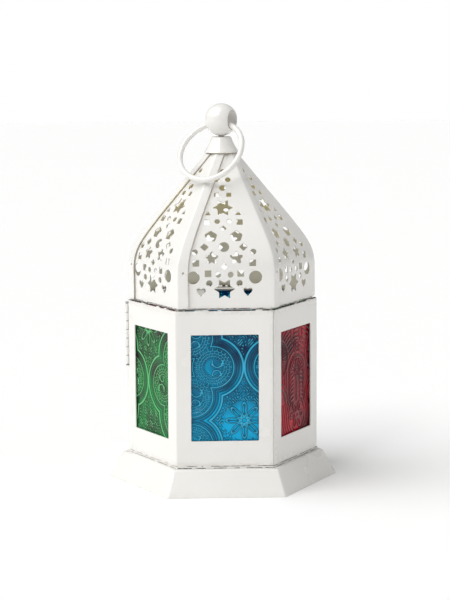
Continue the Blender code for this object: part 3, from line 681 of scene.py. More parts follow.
class Strip:
    """A flat strip's walk round the body, from its left end.

    Its moves are straight runs and bends, each as a length and a turn.
    """

    def __init__(self, face, sides, left_flanged, right_flanged):
        half, seam_turn = BODY_SIDE / 2, math.radians(120)
        seam_reach = SEAM_BEND * math.tan(seam_turn / 2)
        bend_reach = SOFT_BEND * math.tan(math.radians(30))
        seam_corner = half - GAP / 2 / SIN60 * 0.5
        self.face, self.moves, self.middles = face, [], []
        if left_flanged:
            inwards = Vector((0.5, SIN60))
            self.start = Vector((-seam_corner, -BODY_APOTHEM)) + inwards * WALL_FLANGE
            self.heading = -seam_turn
            self.moves += [(WALL_FLANGE - seam_reach, 0.0), (SEAM_BEND * seam_turn, seam_turn)]
            at = -seam_corner + seam_reach
        else:
            self.start, self.heading = Vector((HINGE_EDGE_SETBACK - half, -BODY_APOTHEM)), 0.0
            at = HINGE_EDGE_SETBACK - half
        for side in range(sides):
            self.middles.append(sum(length for length, _ in self.moves) - at)
            if side < sides - 1:
                self.moves.append((half - bend_reach - at, 0.0))
                self.moves.append((SOFT_BEND * math.pi / 3, math.pi / 3))
                at = bend_reach - half
            elif right_flanged:
                self.moves.append((seam_corner - seam_reach - at, 0.0))
                self.moves.append((SEAM_BEND * seam_turn, seam_turn))
                self.moves.append((WALL_FLANGE - seam_reach, 0.0))
            else:
                self.moves.append((half - HINGE_EDGE_SETBACK - at, 0.0))

    def columns(self):
        """Where the flat strip's grid has its columns, closer together in the bends."""
        found, at = [0.0], 0.0
        for length, turn in self.moves:
            longest = length / 6 if turn else COLUMN_STEP
            found += [at + step for step in stepped(0.0, length, longest)[1:]]
            at += length
        return found

    def place(self, along, height, depth):
        """The point in space of a point on the flat strip."""
        point, heading, at = self.start.copy(), self.heading, 0.0
        for length, turn in self.moves:
            run = min(along - at, length)
            if turn:
                radius = length / turn
                swing = run / radius
                left = Vector((-math.sin(heading), math.cos(heading)))
                centre = point + left * radius
                heading += swing
                point = centre - Vector((-math.sin(heading), math.cos(heading))) * radius
            else:
                point = point + Vector((math.cos(heading), math.sin(heading))) * run
            at += length
            if along <= at:
                break
        outwards = Vector((math.sin(heading), -math.cos(heading)))
        level = point + outwards * depth
        turned = Matrix.Rotation(math.radians(60 * self.face), 3, "Z")
        return turned @ Vector((*level, height))


def wall_strip(name, strip, extra_marks=()):
    """A punched strip bent round its corners."""
    columns = strip.columns()
    heights = stepped(WALL_BOTTOM, WALL_TOP, ROW_STEP)
    rows = [[(along, height) for along in columns] for height in heights]
    marks = [("window", WINDOW_WIDTH / 2, middle, WINDOW_MIDDLE) for middle in strip.middles]
    mesh = punched_sheet(name, rows, [*marks, *extra_marks])
    near = []
    for vertex in mesh.vertices:
        along, height, depth = vertex.co
        edge = min(height - WALL_BOTTOM, WALL_TOP - height)
        bend = min(abs(along - WALL_FLANGE), abs(columns[-1] - WALL_FLANGE - along))
        stain = WALL_EDGE_STAIN * fading(edge, STAIN_REACH)
        near.append(stain + WALL_BEND_STAIN * fading(bend, STAIN_REACH))
        vertex.co = strip.place(along, height, depth)
    worked(mesh)
    stained(mesh, near)
    return shown(name, mesh, [white_enamel])


hinge_middle = (HINGE_LOW + HINGE_HIGH) / 2
left_front = Strip(5, 2, left_flanged=False, right_flanged=True)
right_back = Strip(1, 2, left_flanged=True, right_flanged=True)
back = Strip(3, 1, left_flanged=True, right_flanged=True)
door = Strip(4, 1, left_flanged=True, right_flanged=False)
left_notch = ("hinge_notch", NOTCH_CLEARANCE, -HINGE_EDGE_SETBACK, hinge_middle)
door_hinge_edge = door.columns()[-1] + HINGE_EDGE_SETBACK
door_notch = ("hinge_notch", NOTCH_CLEARANCE, door_hinge_edge, hinge_middle)
rivet_along = back.middles[0] - LATCH_PLACE.x
rivet_hole = ("round", RIVET_HOLE_RADIUS, rivet_along, LATCH_PLACE.z)
made = wall_strip("wall_strip_left_front", left_front, [left_notch])
fitted(made, "housing", "enamel", "panel_front_left", "panel_front")
made = wall_strip("wall_strip_right_back", right_back)
fitted(made, "housing", "enamel", "panel_front_right", "panel_back_right")
made = wall_strip("wall_strip_back", back, [rivet_hole])
fitted(made, "housing", "enamel", "panel_back")
made = wall_strip("door_sheet", door, [door_notch])
fitted(made, "door", "enamel", "door_panel")


# Pane tabs. Each window has six narrow tongues left on the sheet's inside, folded over the glass:
# two above, two below and one at each side. They are cut and bent by hand, so no two stand quite
# alike.
TAB_WIDTH = 4.0 * MM
TAB_LAP = 2.2 * MM
TAB_FROM_CORNER = 5.5 * MM
SIDE_TAB_DROP = 11.0 * MM
PANE_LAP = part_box("pane_front")[1].x - WINDOW_WIDTH / 2
PANE_HEAD_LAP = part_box("pane_front")[1].z - WINDOW_MIDDLE - WINDOW_HEIGHT / 2
PANE_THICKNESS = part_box("pane_front")[1].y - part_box("pane_front")[0].y
FACES = ("front", "front_right", "back_right", "back", "back_left", "front_left")
DOOR_FACE = 4
FIXED_FACES = (5, 0, 1, 2, 3)
TAB_BEND = 0.35 * MM
TAB_TIP = 0.15 * MM
TAB_ENDS = ((-0.5, 0.97), (-0.47, 1.0), (0.47, 1.0), (0.5, 0.97))


def folded_tab():
    """A tongue folded over the pane.

    X points away from the window, Y into the body and Z along the tongue's width.
    """
    root, fold = SHEET * 0.6, SHEET + 2 * GAP + PANE_THICKNESS
    hook = softened(
        [
            (GAP, root, 0),
            (GAP + SHEET, root, 0),
            (GAP + SHEET, fold + SHEET, 2 * TAB_BEND),
            (-TAB_LAP, fold + SHEET, TAB_TIP),
            (-TAB_LAP, fold, TAB_TIP),
            (GAP, fold, TAB_BEND),
        ],
        closed=True,
    )
    middle = sum(hook, Vector((0, 0))) / len(hook)
    rings = []
    for share, size in TAB_ENDS:
        level = [middle + (point - middle) * size for point in hook]
        rings.append([Vector((*point, share * TAB_WIDTH)) for point in level])
    return bpy.data.objects.new("folded_tab", lofted("folded_tab", rings, capped=True))


def vectors(tree, operation, first, second):
    inputs = {0: first, "Scale" if operation == "SCALE" else 1: second}
    return put(tree, "ShaderNodeVectorMath", inputs, operation=operation).outputs[0]


def repeated_part_tree():
    """Sets one part at every mark, turned and stretched as its mark says, no two quite alike."""
    tree, given, result = new_group(
        "GeometryNodeTree",
        "repeated_part",
        {"Marks": "Geometry", "Part": "Object", "Size": "Float", "Unevenness": "Float",
         "Seed": "Int", "Finish": "Material"},
        {"Parts": "Geometry"},
    )
    inputs = {"Object": given["Part"], "As Instance": True}
    part = put(tree, "GeometryNodeObjectInfo", inputs).outputs["Geometry"]
    even = (1.0, 1.0, 1.0)
    spread = vectors(tree, "SCALE", even, given["Unevenness"])
    least = vectors(tree, "SUBTRACT", even, spread)
    most = vectors(tree, "ADD", even, spread)
    inputs = {0: least, 1: most, "Seed": given["Seed"]}
    uneven = put(tree, "FunctionNodeRandomValue", inputs, data_type="FLOAT_VECTOR").outputs[0]
    scaled = vectors(tree, "MULTIPLY", mark_value(tree, "stretch", "FLOAT_VECTOR"), uneven)
    turn = mark_value(tree, "turn", "FLOAT_VECTOR")
    rotation = put(tree, "FunctionNodeEulerToRotation", {0: turn}).outputs[0]
    inputs = {"Points": given["Marks"], "Instance": part, "Rotation": rotation,
              "Scale": vectors(tree, "SCALE", scaled, given["Size"])}
    placed = put(tree, "GeometryNodeInstanceOnPoints", inputs).outputs[0]
    end_tree(tree, placed, given["Finish"], result["Parts"])
    return tree


repeated_part = repeated_part_tree()


def repeated(name, part, places, finish, unevenness=0.0, seed=1, stretches=None):
    """One plain mesh of a part repeated at several places."""
    mesh = bpy.data.meshes.new(name + "_marks")
    mesh.from_pydata([place.translation for place in places], [], [])
    turns = [tuple(place.to_euler()) for place in places]
    stretches = stretches or [(1.0, 1.0, 1.0)] * len(places)
    for value_name, rows in (("turn", turns), ("stretch", stretches)):
        values = mesh.attributes.new(value_name, "FLOAT_VECTOR", "POINT").data
        values.foreach_set("vector", [value for row in rows for value in row])
    values = {"Part": part, "Size": 1.0, "Unevenness": unevenness, "Seed": seed, "Finish": finish}
    return grown(name, repeated_part, mesh, values)


def facing(face):
    """The turn from the front face's place to another face's."""
    return Matrix.Rotation(math.radians(60 * face), 4, "Z")


def tab_places(face):
    across = WINDOW_WIDTH / 2 + PANE_LAP
    found = []
    for side, lap in ((-1, PANE_LAP), (1, PANE_HEAD_LAP)):
        up = WINDOW_HEIGHT / 2 + lap
        for x in (TAB_FROM_CORNER - WINDOW_WIDTH / 2, WINDOW_WIDTH / 2 - TAB_FROM_CORNER):
            edge = Vector((x, -BODY_APOTHEM, WINDOW_MIDDLE + side * up))
            found.append((edge, Vector((0, 0, side))))
        edge = Vector((side * across, -BODY_APOTHEM, WINDOW_MIDDLE - SIDE_TAB_DROP))
        found.append((edge, Vector((side, 0, 0))))
    places = []
    for edge, away in found:
        inwards = Vector((0, 1, 0))
        turned = Matrix((away, inwards, away.cross(inwards))).transposed().to_4x4()
        places.append(facing(face) @ Matrix.Translation(edge) @ turned)
    return places


tab = folded_tab()
for body, faces in (("housing", FIXED_FACES), ("door", (DOOR_FACE,))):
    places = [place for face in faces for place in tab_places(face)]
    name = "pane_tabs_" + body
    mesh = repeated(name, tab, places, white_enamel, unevenness=0.03, seed=7)
    fitted(shown(name, mesh, [white_enamel]), body, "enamel")


# Panes. Each window is glazed with pressed glass, flat inside and moulded outside: a trellis of
# lobed medallions and flowers in blue and green, ribbed arches in red. The colour is in the glass,
# with painted shade beside the raised lines and a painted highlight along them, and, most in the
# blue, painted light that runs from deep at the pane's top to bright at its foot.
RELIEF = 0.5 * MM
PANE_STEP = 0.22 * MM
# The flank shade is painted shade beside the raised lines of the glass.
PATCH_DEPTH, FLANK_SHADE = 0.5, 0.35
PANE_LOW, PANE_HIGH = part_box("pane_front")
RELIEF_TOP = 1.25
SWELL = 0.12 * MM

# The patterns are drawn in millimetres. A raised line is given by its distance, width and height.
LOBE_RADIUS = 13.2
LOBES = ((13.4, 23.6), (22.6, 10.7), (22.6, 36.4))
LOBE_LINES = ((0.1, 0.6, 1.0), (1.9, 0.28, 0.55), (4.2, 0.33, 0.95), (3.0, 0.7, 0.3))
BRICK_ROW = 1.15
BRICK_LENGTH = 1.55
BRICKS_START = 4.9
BRICK_ROWS = 4
BRICK_JOINT = 0.24
CURLS = ((-1.9, 2.2, 2.3, -1), (-1.5, -3.2, 1.8, 1))
FLOWER_REACH, FLOWER_CLEAR = 7.8, 8.4
STEM_LINES = ((1.1, 0.3, 0.8), (2.3, 0.3, 0.8))
ARCH_LINES = ((6.6, 0.32, 0.9), (7.7, 0.25, 0.5))
OVAL_LINES = ((2.6, 0.35, 1.0), (1.1, 0.4, 0.9))
SWEEP_LINES = ((9.0, 0.35, 0.9), (7.8, 0.25, 0.5))
LOW_SWEEP_LINES = ((9.0, 0.35, 0.8), (6.5, 0.35, 0.7))
OVAL_UP, SWEEP_ACROSS, SWEEP_UP, LOW_SWEEP_UP = 11.5, 17.5, 7.5, -12.0
LEAVES_UP, LEAVES_START = -19.5, -13.0
ECHO_PITCH, ECHO_HEIGHT, ECHO_WIDTH = 1.9, 0.85, 0.3


def ridge(distance, width):
    return np.exp(-((distance / width) ** 2))


def lines(distance, table):
    return sum(height * ridge(distance - at, width) for at, width, height in table)


def echoes(distance, start):
    """Even rows of raised lines, from a distance outwards."""
    between = (distance - start) % ECHO_PITCH - ECHO_PITCH / 2
    return ECHO_HEIGHT * ridge(between, ECHO_WIDTH)


def box_wave(value, wall):
    """1 in the middle of every whole step of value, falling to 0 across its walls."""
    inside = 0.5 - np.abs(value % 1.0 - 0.5)
    return np.clip(inside / wall - 0.35, 0.0, 1.0)


def flower(across, up, petals, reach, width):
    """A ring of outlined petals round a small eye."""
    far, turn = np.hypot(across, up), np.arctan2(up, across)
    step = 2 * np.pi / petals
    turn = (turn + step / 2) % step - step / 2
    along, aside = far * np.cos(turn), far * np.sin(turn)
    rim = np.hypot((along - 0.62 * reach) / (0.38 * reach), aside / width)
    lines = ridge((rim - 1) * width, 0.27) + 0.8 * ridge(far - 0.17 * reach, 0.28)
    return lines + 0.6 * ridge(aside, 0.16) * (rim < 0.75)


def medallions(x, z, middle):
    """A trellis of lobed medallions that mirrors about a flower's middle."""
    px, pz = np.abs(x - middle[0]), np.abs(z - middle[1])
    depths = np.array([LOBE_RADIUS - np.hypot(px - lx, pz - lz) for lx, lz in LOBES])
    depth, nearest = depths.max(axis=0), depths.argmax(axis=0)
    lobe_x, lobe_z = np.array(LOBES).T[:, nearest]
    relief = lines(depth, LOBE_LINES)
    level = (depth - BRICKS_START) / BRICK_ROW
    row = np.floor(level)
    turn = np.arctan2(pz - lobe_z, px - lobe_x)
    middle_radius = LOBE_RADIUS - BRICKS_START - 2 * BRICK_ROW
    along = turn * middle_radius / BRICK_LENGTH + 0.5 * (row % 2)
    level_joints = ridge((level - np.round(level)) * BRICK_ROW, BRICK_JOINT)
    end_joints = ridge((along - np.round(along)) * BRICK_LENGTH, BRICK_JOINT)
    bricks = np.maximum(level_joints, end_joints)
    relief += 0.9 * bricks * ((row >= 0) & (row < BRICK_ROWS))
    for curl_x, curl_z, radius, side in CURLS:
        dx, dz = px - lobe_x - curl_x, pz - lobe_z - curl_z
        curl = ridge(np.hypot(dx, dz) - radius, 0.33)
        relief += curl * (side * dz > -0.4 * radius) * (depth > 6.0)
    relief += 0.8 * ridge(np.hypot(px - lobe_x - 0.4, pz - lobe_z - 1.0), 0.6)
    far = np.hypot(px, pz)
    relief += 0.9 * flower(px, pz, 8, FLOWER_REACH, width=1.15) * (far < FLOWER_CLEAR)
    sprays = np.sin(2.7 * x + 2.4 * np.sin(1.1 * z)) * np.sin(2.4 * z + 2.1 * np.sin(1.4 * x))
    sprays = np.clip(sprays + 0.2, 0, 1) * (depth < -0.9) * (far > 8.6)
    return relief + 0.85 * sprays


def ribbed_arches(x, z, middle):
    """Arched ribs on either side of a stem, with an oval over them and leaves below."""
    px, pz = np.abs(x - middle[0]), z - middle[1]
    arch = np.hypot(px, np.maximum(pz, 0.0))
    relief = lines(arch, STEM_LINES) * (pz > -1.5)
    relief += lines(arch, ARCH_LINES)
    fan = np.where(pz > 0, np.arctan2(pz, px) * 3.1, (pz + 0.35 * px) / 1.9)
    relief += 0.85 * box_wave(fan, 0.3) * (arch > 2.9) * (arch < 5.9)
    relief += 0.7 * ridge(px, 0.35) * (pz < -1.0)
    oval = np.hypot(px / 0.85, pz - OVAL_UP)
    relief += lines(oval, OVAL_LINES)
    drops = np.hypot((px - 3.9) / 0.8, (pz - 18.0) / 2.2)
    relief += 0.56 * ridge(drops - 1.7, 0.3)
    aside = px - SWEEP_ACROSS
    sweep = np.hypot(aside, pz - SWEEP_UP)
    relief += lines(sweep, SWEEP_LINES)
    fan = np.arctan2(pz - SWEEP_UP, aside) * 5.2
    relief += 0.7 * box_wave(fan, 0.3) * (sweep < 7.0) * (sweep > 3.2)
    lower = np.hypot(aside, pz - LOW_SWEEP_UP)
    relief += lines(lower, LOW_SWEEP_LINES)
    bare = (arch > 8.6) & (sweep > 9.8) & (lower > 9.8) & (oval > 3.4) & (drops > 2.3)
    relief += echoes(arch, 8.9) * bare
    below = np.hypot(px, pz - LEAVES_UP)
    leaves = flower(px, pz - LEAVES_UP, 6, 6.2, width=1.2)
    leaves += echoes(below, 6.9) * (below > 6.9)
    return np.where(pz > LEAVES_START, relief, 0.9 * leaves)


def pane_mesh(name, pattern, middle):
    """A pane in the front face's place: a moulded outside, and a flat inside that shows it."""
    xs = np.arange(PANE_LOW.x, PANE_HIGH.x + PANE_STEP / 2, PANE_STEP)
    xs *= PANE_HIGH.x / xs[-1]
    zs = np.linspace(PANE_LOW.z, PANE_HIGH.z, int((PANE_HIGH.z - PANE_LOW.z) / PANE_STEP))
    x, z = np.meshgrid(xs, zs)
    mm_x, mm_z = x / MM, (z - WINDOW_MIDDLE) / MM
    relief = np.clip(pattern(mm_x, mm_z, middle), 0.0, RELIEF_TOP)
    swell = np.sin(0.31 * mm_x + 0.9 * np.sin(0.17 * mm_z)) * np.sin(0.23 * mm_z + 0.4)
    y = PANE_LOW.y + RELIEF * (RELIEF_TOP - relief) / RELIEF_TOP + SWELL * (0.5 + 0.5 * swell)
    front = np.stack([x, y, z], axis=-1).reshape(-1, 3)
    behind = front * (1, 0, 1) + (0, PANE_HIGH.y, 0)
    count = len(front)
    index = np.arange(count).reshape(x.shape)
    corners = [index[:-1, :-1], index[:-1, 1:], index[1:, 1:], index[1:, :-1]]
    quads = np.stack(corners, axis=-1).reshape(-1, 4)
    rim = np.array([*index[0], *index[1:, -1], *index[-1, -2::-1], *index[-2:0:-1, 0]])
    before = np.roll(rim, 1)
    sides = np.stack([before, before + count, rim + count, rim], axis=-1)
    faces = np.concatenate([quads, quads[:, ::-1] + count, sides]).tolist()
    mesh = bpy.data.meshes.new(name)
    mesh.from_pydata(np.concatenate([front, behind]).tolist(), [], faces)
    raised = np.tile(relief.reshape(-1), 2)
    values = mesh.attributes.new("relief", "FLOAT", "POINT").data
    values.foreach_set("value", raised.astype(np.float32))
    shape = bmesh.new()
    shape.from_mesh(mesh)
    return turned_outwards(shape, mesh)


def glass_tint():
    """Pressed glass colour: cloudy, with painted shade beside raised lines and a painted highlight
    on them.

    A share of it is painted light, running from deep at the pane's top to bright at its foot.
    """
    tree, given, result = new_group(
        "ShaderNodeTree",
        "glass_tint",
        {"Deep": "Color", "Bright": "Color", "Ridge Highlight": "Color", "Painted Light Run": "Float"},
        {"Colour": "Color"},
    )
    place = put(tree, "ShaderNodeTexCoord").outputs["Object"]
    height = put(tree, "ShaderNodeSeparateXYZ", {0: place}).outputs["Z"]
    # Painted light: the pane runs from deep at its top to bright at its foot, as the light behind
    # it falls.
    run = number(tree, "MULTIPLY", rising(tree, height, PANE_HIGH.z, PANE_LOW.z), given["Painted Light Run"])
    clouds = cloud(tree, scale=62.0, low=0.36, high=0.66)
    cloudy = number(tree, "MULTIPLY", clouds, number(tree, "SUBTRACT", 1.0, given["Painted Light Run"]))
    patches = cloud(tree, scale=95.0, low=0.35, high=0.62, detail=1.0)
    patchy = number(tree, "MULTIPLY_ADD", patches, PATCH_DEPTH, -PATCH_DEPTH / 2)
    share = number(tree, "ADD", number(tree, "ADD", run, cloudy), patchy, clamp=True)
    body = mixed(tree, share, given["Deep"], given["Bright"])
    relief = put(tree, "ShaderNodeAttribute", attribute_name="relief").outputs["Fac"]
    # Painted shade darkens the glass beside the raised lines, and a painted highlight lightens the
    # lines themselves.
    painted_flank_shade = rising(tree, relief, low=0.05, high=0.3, most=0.82)
    flank_shaded = mixed(tree, painted_flank_shade, body, mixed(tree, FLANK_SHADE, given["Deep"], BLACK))
    raised = rising(tree, relief, low=0.45, high=0.9, most=0.9)
    tree.links.new(mixed(tree, raised, flank_shaded, given["Ridge Highlight"]), result["Colour"])
    return tree


tint_group = glass_tint()


def pressed_glass(name, deep, bright, raised, run):
    values = {"Deep": deep, "Bright": bright, "Ridge Highlight": raised, "Painted Light Run": run}
    made, tree, shader, _ = new_finish(name, tint_group, values)
    place = put(tree, "ShaderNodeTexCoord").outputs["Object"]
    inputs = {"Vector": place, "Scale": 700.0, "Detail": 2.0}
    grain = put(tree, "ShaderNodeTexNoise", inputs).outputs["Fac"]
    bumped(tree, shader, grain, strength=0.15, depth=0.05 * MM)
    shader.inputs["Roughness"].default_value = 0.07
    shader.inputs["IOR"].default_value = 1.5
    shader.inputs["Specular IOR Level"].default_value = 0.05
    shader.inputs["Transmission Weight"].default_value = 0.38
    return made


# Each glass's run is its share of painted light, deep at the top and bright at the foot; its raised
# colour is a painted highlight.
GLASSES = {
    "blue": pressed_glass(
        "blue_glass",
        deep=(0.0, 0.028, 0.10, 1.0),
        bright=(0.0, 0.58, 1.0, 1.0),
        raised=(0.06, 0.68, 1.0, 1.0),
        run=1.0,
    ),
    "green": pressed_glass(
        "green_glass",
        deep=(0.045, 0.055, 0.042, 1.0),
        bright=(0.01, 0.44, 0.10, 1.0),
        raised=(0.22, 0.84, 0.32, 1.0),
        run=0.15,
    ),
    "red": pressed_glass(
        "red_glass",
        deep=(0.06, 0.001, 0.006, 1.0),
        bright=(0.72, 0.0, 0.02, 1.0),
        raised=(0.66, 0.13, 0.18, 1.0),
        run=0.1,
    ),
}
PANE_MESHES = {
    "blue": pane_mesh("blue_pane", medallions, (8.3, -14.5)),
    "green": pane_mesh("green_pane", medallions, (-4.4, 23.1)),
    "red": pane_mesh("red_pane", ribbed_arches, (2.9, 3.0)),
}
PANE_COLOURS = ("blue", "red", "green", "blue", "red", "green")
for face, colour in enumerate(PANE_COLOURS):
    body, node = ("door", "pane_door") if face == DOOR_FACE else ("housing", "pane_" + FACES[face])
    mesh = PANE_MESHES[colour].copy()
    mesh.transform(facing(face))
    pane = shown("pressed_" + node, mesh, [GLASSES[colour]], crease=60.0)
    fitted(pane, body, colour + "_glass", node)


# Hinge. Seven knuckles are rolled from two narrow leaves, four on the body and three on the door,
# and a steel pin with upset heads runs through them. The leaves are soldered inside the walls, and
# enamel covers all.
KNUCKLE_RADIUS = 1.0 * MM
KNUCKLE_BORE = 0.6 * MM
KNUCKLES = 7
LEAF_START = 1.7 * MM
LEAF_END = 4.2 * MM
TONGUE_START = 0.45 * MM
LEAF_EDGE = 0.1 * MM
HINGE_AT = Vector(joints["door_hinge"]["pos_m"])
HINGE_BOTTOM, HINGE_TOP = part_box("hinge_leaf_body")[0].z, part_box("hinge_leaf_body")[1].z
KNUCKLE_PITCH = (HINGE_TOP - HINGE_BOTTOM) / KNUCKLES
HALF_KNUCKLE = (KNUCKLE_PITCH - GAP) / 2
LEAF_OUTSIDE = BODY_APOTHEM - SHEET - GAP


def knuckle():
    profile = [
        (KNUCKLE_BORE, -HALF_KNUCKLE, 0.05 * MM),
        (KNUCKLE_RADIUS, -HALF_KNUCKLE, 0.3 * MM),
        (KNUCKLE_RADIUS, HALF_KNUCKLE, 0.3 * MM),
        (KNUCKLE_BORE, HALF_KNUCKLE, 0.05 * MM),
    ]
    rounded = [(p.x, p.y) for p in softened(profile, closed=True, steps=3)]
    return bpy.data.objects.new("knuckle", spun("knuckle", rounded, 20))


def bevelled_boxes(name, boxes, edge):
    """Plates given as lowest and highest corners, with soft edges."""
    shape = bmesh.new()
    for low, high in boxes:
        low, high = Vector(low), Vector(high)
        place = Matrix.LocRotScale((low + high) / 2, None, high - low)
        bmesh.ops.create_cube(shape, size=1.0, matrix=place)
    bmesh.ops.bevel(
        shape, geom=shape.edges, offset=edge, segments=2, affect="EDGES", profile=0.6
    )
    return turned_outwards(shape, bpy.data.meshes.new(name))


def leaf_strip(side, start, end, bottom, top):
    """A flat strip along the inside of a wall, measured from the hinge's corner."""
    corner = side * BODY_SIDE / 2
    xs = sorted((corner - side * start, corner - side * end))
    return (xs[0], -LEAF_OUTSIDE, bottom), (xs[1], -LEAF_OUTSIDE + SHEET, top)


knuckle_part = knuckle()
for body, side, face, first in (("housing", -1, 5, 0), ("door", 1, DOOR_FACE, 1)):
    node = "hinge_leaf_body" if body == "housing" else "hinge_leaf_door"
    heights = [HINGE_BOTTOM + KNUCKLE_PITCH * (k + 0.5) for k in range(first, KNUCKLES, 2)]
    places = [Matrix.Translation((HINGE_AT.x, HINGE_AT.y, height)) for height in heights]
    mesh = repeated(node, knuckle_part, places, white_enamel)
    fitted(shown(node + "_knuckles", mesh, [white_enamel]), body, "enamel")
    plates = [leaf_strip(side, LEAF_START, LEAF_END, HINGE_BOTTOM, HINGE_TOP)]
    for height in heights:
        low, high = height - HALF_KNUCKLE, height + HALF_KNUCKLE
        plates.append(leaf_strip(side, TONGUE_START, LEAF_START + SHEET, low, high))
    mesh = bevelled_boxes(node + "_plate", plates, LEAF_EDGE)
    mesh.transform(facing(face))
    fitted(shown(node + "_plate", mesh, [white_enamel]), body, "enamel", node)
dressed("hinge_pin", steel)


# Latch. A teardrop tab of enamelled steel hangs from a domed steel rivet beside the door's free
# edge. Turned a quarter towards the door, it reaches over the door's edge and keeps it shut.
LATCH_EYE_RADIUS = 2.3 * MM
LATCH_TIP_RADIUS = 1.3 * MM
LATCH_REACH = 6.0 * MM
LATCH_THICKNESS = 0.6 * MM
LATCH_HOLE_RADIUS = 1.1 * MM
LATCH_HOLE_START = 152.0
LATCH_EDGE = 0.14 * MM
EYE_STEPS, TIP_STEPS = 24, 12
RIVET_DOME = 0.6 * MM
RIVET_HEAD_RADIUS = 1.5 * MM
RIVET_RADIUS = 0.8 * MM
RIVET_TAIL_RADIUS = 1.3 * MM
latch_outwards = Matrix.Rotation(math.radians(-90), 4, "X")
latch_place = Matrix.Translation((LATCH_PLACE.x, BODY_APOTHEM, LATCH_PLACE.z)) @ latch_outwards


def teardrop(grow):
    """The tab's outline with its eye in the middle, grown outwards all round."""
    eye, tip = LATCH_EYE_RADIUS + grow, LATCH_TIP_RADIUS + grow
    spread = math.acos((eye - tip) / LATCH_REACH)
    points = []
    for k in range(EYE_STEPS + 1):
        turn = math.pi / 2 + spread + (2 * math.pi - 2 * spread) * k / EYE_STEPS
        points.append((eye * math.cos(turn), eye * math.sin(turn)))
    for k in range(TIP_STEPS + 1):
        turn = math.pi / 2 - spread + 2 * spread * k / TIP_STEPS
        points.append((tip * math.cos(turn), tip * math.sin(turn) + LATCH_REACH))
    return points


def latch_tab():
    low, high, edge = GAP, GAP + LATCH_THICKNESS, LATCH_EDGE
    hole = round_points(len(teardrop(0.0)), LATCH_HOLE_RADIUS, LATCH_HOLE_START)
    wide_hole = [(x * 1.1, y * 1.1) for x, y in hole]
    loops = [
        (teardrop(-edge), low),
        (teardrop(0.0), low + edge),
        (teardrop(0.0), high - edge),
        (teardrop(-edge), high),
        (wide_hole, high),
        (hole, high - edge),
        (hole, low + edge),
        (wide_hole, low),
    ]
    rings = [[Vector((x, y, height)) for x, y in loop] for loop, height in loops]
    mesh = lofted("latch_tab_cut", rings)
    mesh.transform(latch_place)
    return shown("latch_tab_cut", mesh, [white_enamel])


def latch_rivet():
    head, tail = 2 * GAP + LATCH_THICKNESS, -SHEET - GAP
    profile = [
        (0.0, head + RIVET_DOME, 0),
        (RIVET_HEAD_RADIUS * 0.75, head + RIVET_DOME, 0.8 * MM),
        (RIVET_HEAD_RADIUS, head, 0.2 * MM),
        (RIVET_RADIUS, head, 0.1 * MM),
        (RIVET_RADIUS, tail, 0.1 * MM),
        (RIVET_TAIL_RADIUS, tail, 0.1 * MM),
        (RIVET_TAIL_RADIUS, tail - SHEET, 0.3 * MM),
        (0.0, tail - SHEET, 0),
    ]
    mesh = spun("latch_rivet_domed", softened(profile), 36)
    mesh.transform(latch_place)
    return shown("latch_rivet_domed", mesh, [steel])


fitted(latch_tab(), "latch", "enamel", "latch_tab")
fitted(latch_rivet(), "housing", "steel", "latch_rivet")


# Top ring, solder and enamel drops. A flat hexagonal ring ties the walls together under the eave.
# Solder fills the seams over and under the walls and under the eave, near black as painted shade
# for their dark gaps, and at the walls' foot only along the shaded faces. Drops of enamel
# bridge them here and there. The door's own edges are left clear.
DROP_SPACING = 2.9 * MM
DROP_DEPTH = 0.34 * MM
# The solder's near-black colours are painted shade for the seams' dark gaps.
SEAM_SHADE_SOLDER, DULL_SEAM_SHADE_SOLDER = (0.10, 0.10, 0.095, 1.0), (0.04, 0.04, 0.037, 1.0)
ALL_FACES = range(6)
SHADED_FACES = (0, 1, 2, 3)
RING_LOW, RING_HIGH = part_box("top_ring")[0].z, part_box("top_ring")[1].z
LEDGE_SEAM = BASE_TOP + GAP / 2
WALL_SEAM = WALL_BOTTOM - GAP / 2
OVER_WALLS = RING_LOW - GAP / 2
UNDER_EAVE = RING_HIGH + GAP / 2

# Name, depth behind the walls' faces, height, faces, share kept, half height and seed.
ENAMEL_DROPS = (
    ("drops_over_ledge", 0.1 * MM, LEDGE_SEAM, FIXED_FACES, 0.26, 0.26 * MM, 11),
    ("drops_under_walls", 0.2 * MM, WALL_SEAM, FIXED_FACES, 0.24, 0.26 * MM, 12),
    ("drops_over_walls", 0.4 * MM, OVER_WALLS, FIXED_FACES, 0.26, 0.26 * MM, 13),
    ("drops_under_eave", 1.35 * MM, UNDER_EAVE, ALL_FACES, 0.26, 0.3 * MM, 14),
)
# Solder lines: near-black painted shade in the seams; the two at the walls' foot keep to the shaded
# faces.
SEAM_SHADE_LINES = (
    ("solder_over_ledge", 0.5 * MM, LEDGE_SEAM, SHADED_FACES, 1.0, 0.24 * MM, 17),
    ("solder_under_walls", 0.5 * MM, WALL_SEAM, SHADED_FACES, 1.0, 0.24 * MM, 18),
    ("solder_over_walls", 0.85 * MM, OVER_WALLS, FIXED_FACES, 1.0, 0.24 * MM, 15),
    ("solder_under_eave", 1.85 * MM, UNDER_EAVE, ALL_FACES, 1.0, 0.24 * MM, 16),
)


def drop():
    shape = bmesh.new()
    bmesh.ops.create_icosphere(shape, subdivisions=2, radius=1.0)
    return bpy.data.objects.new("drop", turned_outwards(shape, bpy.data.meshes.new("drop")))


def drops_along(apothem, height, faces, keep, tallness, seed):
    """Places and stretches for drops along some of the body's faces, a share of them kept."""
    chance = np.random.default_rng(seed)
    places, stretches = [], []
    half = apothem / SIN60 / 2
    for face in faces:
        for x in np.arange(-half + MM, half - MM, DROP_SPACING):
            if chance.random() > keep:
                continue
            at = Vector((x + chance.uniform(-1, 1) * MM, -apothem, height))
            places.append(facing(face) @ Matrix.Translation(at))
            length = chance.uniform(0.6, 2.1) * MM
            stretches.append((length, DROP_DEPTH, tallness * chance.uniform(0.8, 1.3)))
    return places, stretches


